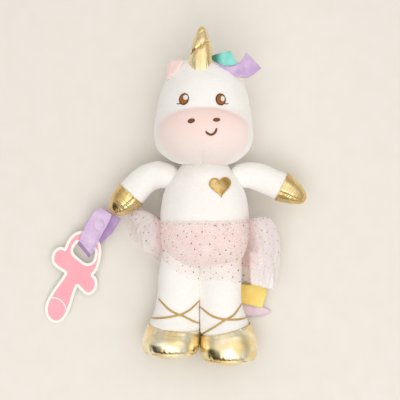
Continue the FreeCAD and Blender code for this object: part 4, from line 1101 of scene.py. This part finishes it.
teal, g = sheet_between(
    "mane_ribbon_teal_satin",
    [at(211.5, 56.0, 61.5), at(216, 54.4, 64.0), at(223, 52.6, 66.0), at(230.4, 50.8, 64.6)],
    [at(212.0, 60.0, 60.5), at(217, 62.6, 62.2), at(226, 65.6, 64.0), at(237.4, 64.4, 62.6)], 44, 20, 1.2, 0.7, 1.0)
dress(teal, TEAL)
teal_area = area_of(g)
lilac, g2 = sheet_between(
    "mane_ribbon_lilac_satin",
    [at(214, 60.5, 60.0), at(222, 65.5, 61.2), at(230, 66.4, 61.6), at(237, 64.4, 62.0), at(242.4, 59.6, 62.4), at(246.2, 52.6, 62.6)],
    [at(213.4, 62.6, 58.8), at(220, 67.2, 58.4), at(228, 71.6, 57.4), at(238, 76.6, 56.8), at(249, 77.0, 57.4), at(261.4, 68.2, 60.0)], 50, 22, 1.4, 0.5, 1.0)
dress(lilac, LILAC)
lilac_area = area_of(g2)
for ob, node, slot, area, wide in ((teal, "mane_ribbon_teal", "teal_ribbon", teal_area, 13.0), (lilac, "mane_ribbon_lilac", "lilac_ribbon", lilac_area, 15.0)):
    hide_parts(node)
    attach(ob, "mane")

yellow, g3 = sheet_between(
    "tail_ribbon_yellow_satin",
    [at(213, 262, 4), at(224, 270, 4.6), at(234, 280, 5.2), at(246, 284.6, 6.4), at(256, 284, 7.2), at(267.6, 289.6, 5.2)],
    [at(205, 266, 4), at(214, 279, 4.6), at(226, 294, 5.2), at(241, 302.6, 6.0), at(252, 305.6, 6.2), at(262.6, 308, 4.6)], 56, 20, 0.8, 0.5, 1.2)
dress(yellow, YELLOW)
tail2, g4 = sheet_between(
    "tail_ribbon_lilac_satin",
    [at(212, 264, 2.4), at(224, 276, 2.4), at(235, 292, 2.4), at(247, 301, 2.8), at(262, 306.5, 3.0), at(271.5, 312, 2.0)],
    [at(203, 268, 2.4), at(212, 286, 2.4), at(226, 305, 2.4), at(240, 313, 2.6), at(250, 316, 2.8), at(262, 316, 1.8)], 56, 20, 0.5, 0.3, 1.5)
dress(tail2, TAIL_LILAC)
for ob, node, slot, area in ((yellow, "tail_ribbon_yellow", "yellow_ribbon", area_of(g3)), (tail2, "tail_ribbon_lilac", "lilac_ribbon", area_of(g4))):
    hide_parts(node)
    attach(ob, "tail")

label, g5 = sheet_between(
    "care_label_tape",
    [at(250, 252, 28.2), at(250.2, 260, 28.0), at(250.4, 270, 27.4), at(251, 284, 26.0)],
    [at(272.4, 254, 27.6), at(273, 262, 27.4), at(273.6, 272, 26.6), at(274, 289.5, 25.0)], 44, 22, 0.5, 0.35, 1.0, 0.3)
dress(label, LABEL)
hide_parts("care_label")
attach(label, "label")

# ------------------------------------------------------------------ strap
FOOT = (-107.3, -43.9)
ALONG, ACROSS = (-0.511, -0.859), (0.859, -0.511)
BAR_LEVEL, SLOPE = 8.8, 0.27


def strap_point(u, w, lift):
    return np.array([FOOT[0] + u * ALONG[0] + w * ACROSS[0], FOOT[1] + u * ALONG[1] + w * ACROSS[1],
                     BAR_LEVEL + (-8 - u) * SLOPE + lift])


R = 2.7
fold = [(-1.5 + R * math.sin(math.radians(a)), 0.3, -R * math.cos(math.radians(a))) for a in range(0, 181, 20)]
rear_line = [(-40.5, 7.6, -1.6), (-36, 7.6, -1.5), (-26, 7.0, -1.5), (-21.5, 6.0, -1.9), (-17, 4.6, -2.8), (-12, 2.8, -2.9), (-8, 1.2, -R)] + fold
front_line = [(-1.9, 0.3, R + 0.05), (-10, -0.1, R + 0.1), (-17, -0.5, 2.6), (-22, -0.7, 2.1), (-31, -0.7, 2.0), (-40, -0.9, 2.6)]
snap = (-26.6, 1.6)


def strap_sheet(name, line, rows, imprint):
    line = rounded([(u, w, lift) for u, w, lift in line], rows)
    cols = 26
    g = np.zeros((rows, cols, 3))
    for i, (u, w, lift) in enumerate(line):
        for j, q in enumerate(np.linspace(-1, 1, cols)):
            e = (8.25 if imprint else 7.5) * q
            h = lift - 0.25 * q ** 4
            shear = 0.366 * (w + e + 0.6) * float(ease(-20, -5, u))
            if imprint:
                # the free end is cut round at its outer corner, and the right edge curls up
                e *= 1 - 0.46 * float(ease(-30, -41, u)) ** 1.6 * (1 if q < 0 else 0.2)
                h += 1.3 * float(ease(0.66, 1.0, q)) * float(ease(-38, -30, u))
                r = math.hypot(u - snap[0], w + e - snap[1])
                h += 0.7 * math.exp(-((r - 5.0) / 0.8) ** 2) + 0.3 * float(ease(5.0, 3.8, r))
                h += 0.22 * math.sin(u * 0.55 + q * 1.4)
            g[i, j] = strap_point(u + shear, w + e, h)
    ob = make(name, g.reshape(-1, 3), grid_faces(rows, cols, False))
    m = ob.modifiers.new("cloth", "SOLIDIFY")
    m.thickness = 0.5 * MM
    m.offset = 0.0
    return ob, area_of(g)


rear, rear_area = strap_sheet("strap_rear_leaf_ribbon", rear_line, 90, False)
front, front_area = strap_sheet("strap_front_leaf_ribbon", front_line, 90, True)
for ob, node, body, area in ((rear, "strap_rear_leaf", "strap", rear_area), (front, "strap_front_leaf", "strap_flap", front_area)):
    # the rear leaf gets the darker copy of the ribbon: painted shade
    dress(ob, STRAP if node == "strap_front_leaf" else STRAP_PAINTED_SHADE)
    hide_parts(node)
    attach(ob, body)

# ------------------------------------------------------------------ tutu
# Rows round the skirt: degrees from the toy's left side over the front, and
# the cloth's line from waist to hem as (across, down, height) on the 400 grid.
SKIRT = [
    (0, [(248.5, 221, 30), (262, 217.0, 33), (273, 222, 30), (279.4, 244, 26), (277.4, 268, 20), (273.5, 288.5, 15)]),
    (16, [(247.5, 221.5, 38), (257, 218.6, 44), (266, 228, 44), (271, 250, 40), (269, 272, 34), (266.5, 288, 29)]),
    (40, [(238, 222, 51), (244, 224, 57), (250, 240, 56), (253, 262, 50), (254, 274, 46), (254.5, 284, 43)]),
    (65, [(222, 222.5, 57), (224, 226, 61), (226, 242, 58.5), (228, 262, 52), (229, 272, 48), (230, 281.5, 45)]),
    (90, [(204, 222.5, 58.5), (204, 226, 62), (203, 242, 59), (202, 262, 52), (201.5, 272, 48), (201, 280.5, 45)]),
    (115, [(186, 222.5, 57), (184, 226, 61), (182, 241, 58), (181.5, 256, 52), (181.5, 266, 48), (182, 275.5, 45)]),
    (138, [(171, 222.5, 51), (167, 226, 55), (163, 237, 52), (161.5, 246, 47), (162, 254, 43), (164, 262, 40)]),
    (158, [(163, 222, 41), (156, 222.5, 46), (149, 229, 42), (145, 236, 36), (145, 243, 31), (146.5, 249.5, 27)]),
    (180, [(160.5, 221, 30), (151, 216.5, 34), (143, 215.0, 31), (137, 215, 26), (133, 215.4, 21), (130.5, 216.2, 16)]),
    (203, [(162.5, 221, 18), (152, 214, 18), (143, 209, 14), (136, 206, 10), (131, 204.4, 6), (127, 204.2, 3.5)]),
    (230, [(170, 221, 8), (158, 218, 5), (148, 219, 3.2), (140, 224, 2.2), (134, 231, 1.6), (131, 238, 1.4)]),
    (270, [(204, 221, 2.0), (202, 226, 1.2), (196, 240, 1.1), (190, 254, 1.1), (187, 264, 1.1), (185, 274, 1.2)]),
    (310, [(238, 221, 8), (242, 226, 3.6), (246, 242, 2.0), (247, 260, 1.6), (247, 272, 1.5), (246, 283, 1.5)]),
    (340, [(247, 221, 19), (258, 221, 14), (267, 230, 9), (272, 250, 6), (270, 270, 4.5), (267, 286, 3.6)]),
]


def skirt(name, inset, reach, count, amp, seed, mat):
    deg = np.array([r[0] for r in SKIRT], float)
    pts = np.array([[at(*q) for q in r[1]] for r in SKIRT])
    cols, rows = 440, 46
    u = np.linspace(0, 360, cols, endpoint=False)
    # round the skirt, periodic
    d3 = np.concatenate([deg - 360, deg, deg + 360])
    p3 = np.concatenate([pts, pts, pts]).reshape(len(d3), -1)
    around = np.zeros((cols, p3.shape[1]))
    idx = np.searchsorted(d3, u, side="right") - 1
    for k, (i, x) in enumerate(zip(idx, u)):
        t = (x - d3[i]) / (d3[i + 1] - d3[i])
        h = d3[i + 1] - d3[i]
        m0 = (p3[i + 1] - p3[i - 1]) / (d3[i + 1] - d3[i - 1]) * h
        m1 = (p3[i + 2] - p3[i]) / (d3[i + 2] - d3[i]) * h
        around[k] = (2 * t ** 3 - 3 * t ** 2 + 1) * p3[i] + (t ** 3 - 2 * t ** 2 + t) * m0 + (-2 * t ** 3 + 3 * t ** 2) * p3[i + 1] + (t ** 3 - t ** 2) * m1
    around = around.reshape(cols, -1, 3)
    g = np.zeros((rows, cols, 3))
    for k in range(cols):
        line = rounded(around[k], 80)
        run = np.linspace(0, reach, rows) * 79
        for c in range(3):
            g[:, k, c] = np.interp(run, np.arange(80), line[:, c])
    n = grid_normals(g)
    centre = np.array([1.5, -40.0, 30.0])
    if ((g[rows // 2] - centre) * n[rows // 2]).sum() < 0:
        n = -n
    v = np.linspace(0, 1, rows)[:, None]
    rnd = np.random.RandomState(seed)
    phase = np.radians(u) * count + 1.6 * np.sin(np.radians(u) * 5 + seed) + 0.8 * np.sin(np.radians(u) * 11 + 2 * seed)
    fold = np.sin(phase)[None, :] * (0.35 + 0.65 * v) * amp
    fold += np.sin(phase * 0.37 + 1.3)[None, :] * v * amp * 0.7
    pinch = 0.22 * np.sin(np.radians(u) * 96)[None, :] * np.exp(-v * 9)
    low = np.radians(u)
    weight = 0.35 + 0.65 * ease(-0.2, 0.4, np.sin(low))[None, :]
    g = g + n * (fold * weight + pinch)[:, :, None] - n * inset
    sway = np.stack([np.cos(phase), np.zeros(cols), np.zeros(cols)], 1)[None] * (0.9 * v * amp * 0.5)[:, :, None]
    g = g + sway
    g[:, :, 1] += (0.5 * np.sin(phase * 0.5 + 0.4) * v ** 3 * 1.2)
    g[:, :, 2] = np.maximum(g[:, :, 2], 0.5 + 0.0 * v)
    return g, n


def clear_of(g, trees, gap):
    """Lifts cloth that would pass through what it lies on."""
    flat = g.reshape(-1, 3)
    for i, p in enumerate(flat):
        if p[2] < 26:
            continue
        hit = drop(trees, p[0], p[1], 120)
        if hit is not None and hit[0][2] > 20 and p[2] < hit[0][2] + gap:
            flat[i, 2] = hit[0][2] + gap
    return flat.reshape(g.shape)


under = [torso_tree] + [tree(bpy.data.objects[n]) for n in ("right_leg_plush", "left_leg_plush")]
sheets = []
for name, inset, reach, count, amp, seed, mat, node, gap in (
        ("tutu_outer_tulle", 0.0, 1.0, 31, 1.35, 3, TULLE, "tutu_outer_layer", 1.7),
        ("tutu_inner_tulle", 1.3, 0.76, 27, 1.0, 5, TULLE_IN, "tutu_inner_layer", 0.7)):
    g, n = skirt(name, inset, reach, count, amp, seed, mat)
    g = clear_of(g, under, gap)
    rows, cols, _ = g.shape
    ob = make(name, g.reshape(-1, 3), grid_faces(rows, cols))
    dress(ob, mat)
    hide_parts(node)
    sheets.append((ob, g, n, node))
    wide = 2 * area_of(np.concatenate([g, g[:, :1]], 1)) / 1000.0
for ob, g, n, node in sheets:
    closed = np.concatenate([g, g[:, :1]], 1)
    area = area_of(closed)
    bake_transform(ob)

# glitter: tiny gold flakes in staggered rows on the net
co, faces = [], []
rnd = np.random.RandomState(11)
hexa = [(math.cos(a), math.sin(a)) for a in np.linspace(0, 2 * np.pi, 6, endpoint=False)]
for (ob, g, n, node), step, size, share in ((sheets[0], 9.2, 0.60, 0.9), (sheets[1], 11.0, 0.5, 0.35)):
    rows, cols, _ = g.shape
    nn = grid_normals(g)
    run = np.concatenate([np.zeros((1, cols)), np.cumsum(np.linalg.norm(np.diff(g, axis=0), axis=2), 0)])
    row_mid = g[rows // 2]
    ring = np.linalg.norm(np.diff(np.vstack([row_mid, row_mid[:1]]), axis=0), axis=1)
    along = np.concatenate([[0], np.cumsum(ring)])[:-1]
    total = ring.sum()
    count = int(total / step)
    for j, down in enumerate(np.arange(3.5, 60, step * 0.6)):
        for i in range(count):
            want = ((i + (0.5 if j % 2 else 0)) * total / count + rnd.uniform(-0.7, 0.7)) % total
            c = int(np.searchsorted(along, want)) % cols
            depth = down + rnd.uniform(-0.6, 0.6)
            if depth > run[-1, c] - 0.4 or rnd.rand() > share:
                continue
            r = np.interp(depth, run[:, c], np.arange(rows))
            r0 = int(min(r, rows - 2))
            p = g[r0, c] * (1 - (r - r0)) + g[r0 + 1, c] * (r - r0)
            w = nn[r0, c]
            out = w if w @ (p - np.array([1.5, -40, 30])) > 0 else -w
            e1 = np.cross(out, [0.3, 0.8, 0.5])
            e1 /= np.linalg.norm(e1)
            e2 = np.cross(out, e1)
            base = len(co)
            s = size * rnd.uniform(0.8, 1.2)
            for lift in (-0.10, 0.16):
                for hx_, hy_ in hexa:
                    co.append(p + out * lift + e1 * hx_ * s + e2 * hy_ * s)
            faces.append(tuple(base + 6 + k for k in range(6)))
            faces.append(tuple(base + 5 - k for k in range(6)))
            for k in range(6):
                faces.append((base + k, base + (k + 1) % 6, base + 6 + (k + 1) % 6, base + 6 + k))
co = np.array(co)
co[:, 2] = np.maximum(co[:, 2], 0.3)
dots = dress(make("tutu_glitter_dots", co, faces, False), GLITTER)
bm = bmesh.new()
bm.from_mesh(dots.data)
bmesh.ops.recalc_face_normals(bm, faces=bm.faces)
bm.to_mesh(dots.data)
bm.free()
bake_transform(dots)

# the gathered waist seam
g = sheets[0][1]
ring = g[0]
mid = ring.mean(0)
out = ring - mid
out[:, 1] = 0
out /= np.linalg.norm(out, axis=1, keepdims=True)
th = np.linspace(0, 2 * np.pi, 10, endpoint=False)
rows_ = []
for k in range(0, len(ring), 2):
    r = 0.5 + 0.16 * math.sin(k * 1.31)
    p = ring[k] + out[k] * 0.1
    rows_.append([p + out[k] * r * 0.8 * math.cos(a) + np.array([0, 1, 0]) * r * 1.1 * math.sin(a) for a in th])
band = np.array(rows_)
f = []
R_, C_ = band.shape[0], band.shape[1]
for r in range(R_):
    for c in range(C_):
        f.append((r * C_ + c, ((r + 1) % R_) * C_ + c, ((r + 1) % R_) * C_ + (c + 1) % C_, r * C_ + (c + 1) % C_))
band[:, :, 2] = np.maximum(band[:, :, 2], 0.4)
waist = make("tutu_waist_seam", band.reshape(-1, 3), f)
bm = bmesh.new()
bm.from_mesh(waist.data)
bmesh.ops.recalc_face_normals(bm, faces=bm.faces)
bm.to_mesh(waist.data)
bm.free()
waist.data.shade_smooth()
dress(waist, plush("waist_binding", (252, 240, 237), (248, 228, 225)))
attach(waist, "trunk")

# ------------------------------------------------------------------ carried-over CAD
for node, mat in (("card_board", BOARD), ("card_pink_face", PRINT), ("snap_stud", SNAP), ("snap_socket", SNAP)):
    ob = frame["nodes"][node]
    for s in ob.material_slots:
        s.material = mat
    if not ob.material_slots:
        ob.data.materials.append(mat)

# ------------------------------------------------------------------ floor, light
floor = make("floor", [(-3000, -3000, 0), (3000, -3000, 0), (3000, 3000, 0), (-3000, 3000, 0)], [(0, 1, 2, 3)], False)
dress(floor, FLOOR)


def lamp(name, where, aim, size, power, colour):
    d = bpy.data.lights.new(name, "AREA")
    d.shape = "DISK"
    d.size = size
    d.energy = power
    d.color = colour
    o = bpy.data.objects.new(name, d)
    scene.collection.objects.link(o)
    o.location = where
    o.rotation_mode = "QUATERNION"
    o.rotation_quaternion = (Vector(aim) - Vector(where)).to_track_quat("-Z", "Y")
    return o


lamp("window", (-0.08, -0.85, 1.5), (0, 0, 0.0), 1.5, 8.0, (1.0, 0.985, 0.965))
lamp("front", (0.35, -1.45, 0.78), (0, 0, 0.03), 1.5, 2.7, (1.0, 0.99, 0.975))
lamp("fill", (0.9, 0.8, 1.6), (0, 0, 0.0), 1.6, 1.6, (1.0, 0.99, 0.98))

world = bpy.data.worlds.new("studio")
scene.world = world
world.use_nodes = True
t = world.node_tree
t.nodes.clear()
o = t.nodes.new("ShaderNodeOutputWorld")
bg = t.nodes.new("ShaderNodeBackground")
tc = t.nodes.new("ShaderNodeTexCoord")
sep = t.nodes.new("ShaderNodeSeparateXYZ")
t.links.new(tc.outputs["Generated"], sep.inputs[0])


def wmath(op, a, b=0.0, clamp=False):
    n_ = t.nodes.new("ShaderNodeMath")
    n_.operation = op
    n_.use_clamp = clamp
    for s, v in ((n_.inputs[0], a), (n_.inputs[1], b)):
        if isinstance(v, bpy.types.NodeSocket):
            t.links.new(v, s)
        else:
            s.default_value = v
    return n_.outputs[0]


def wrange(v, a, b, c, d):
    n_ = t.nodes.new("ShaderNodeMapRange")
    n_.interpolation_type = "SMOOTHSTEP"
    t.links.new(v, n_.inputs["Value"])
    for k, x in (("From Min", a), ("From Max", b), ("To Min", c), ("To Max", d)):
        n_.inputs[k].default_value = x
    return n_.outputs["Result"]


# a bright ceiling, and a darker room low down on the near left side
lean = wmath("ADD", wmath("MULTIPLY", sep.outputs["X"], -0.35), wmath("MULTIPLY", sep.outputs["Y"], -0.85))
dark = wmath("MULTIPLY", wrange(lean, 0.36, 0.50, 0.0, 1.0), wrange(sep.outputs["Z"], 0.66, 0.84, 1.0, 0.0))
level = wmath("SUBTRACT", wrange(sep.outputs["Z"], 0.30, 0.85, 0.52, 1.06), wmath("MULTIPLY", dark, 0.60))
ray = t.nodes.new("ShaderNodeLightPath")
final = t.nodes.new("ShaderNodeMix")
final.data_type = "FLOAT"
t.links.new(ray.outputs["Is Camera Ray"], final.inputs[0])
t.links.new(level, final.inputs[2])
final.inputs[3].default_value = 0.84
bg.inputs["Color"].default_value = (1.0, 0.985, 0.965, 1.0)
t.links.new(final.outputs[0], bg.inputs["Strength"])
t.links.new(bg.outputs[0], o.inputs[0])
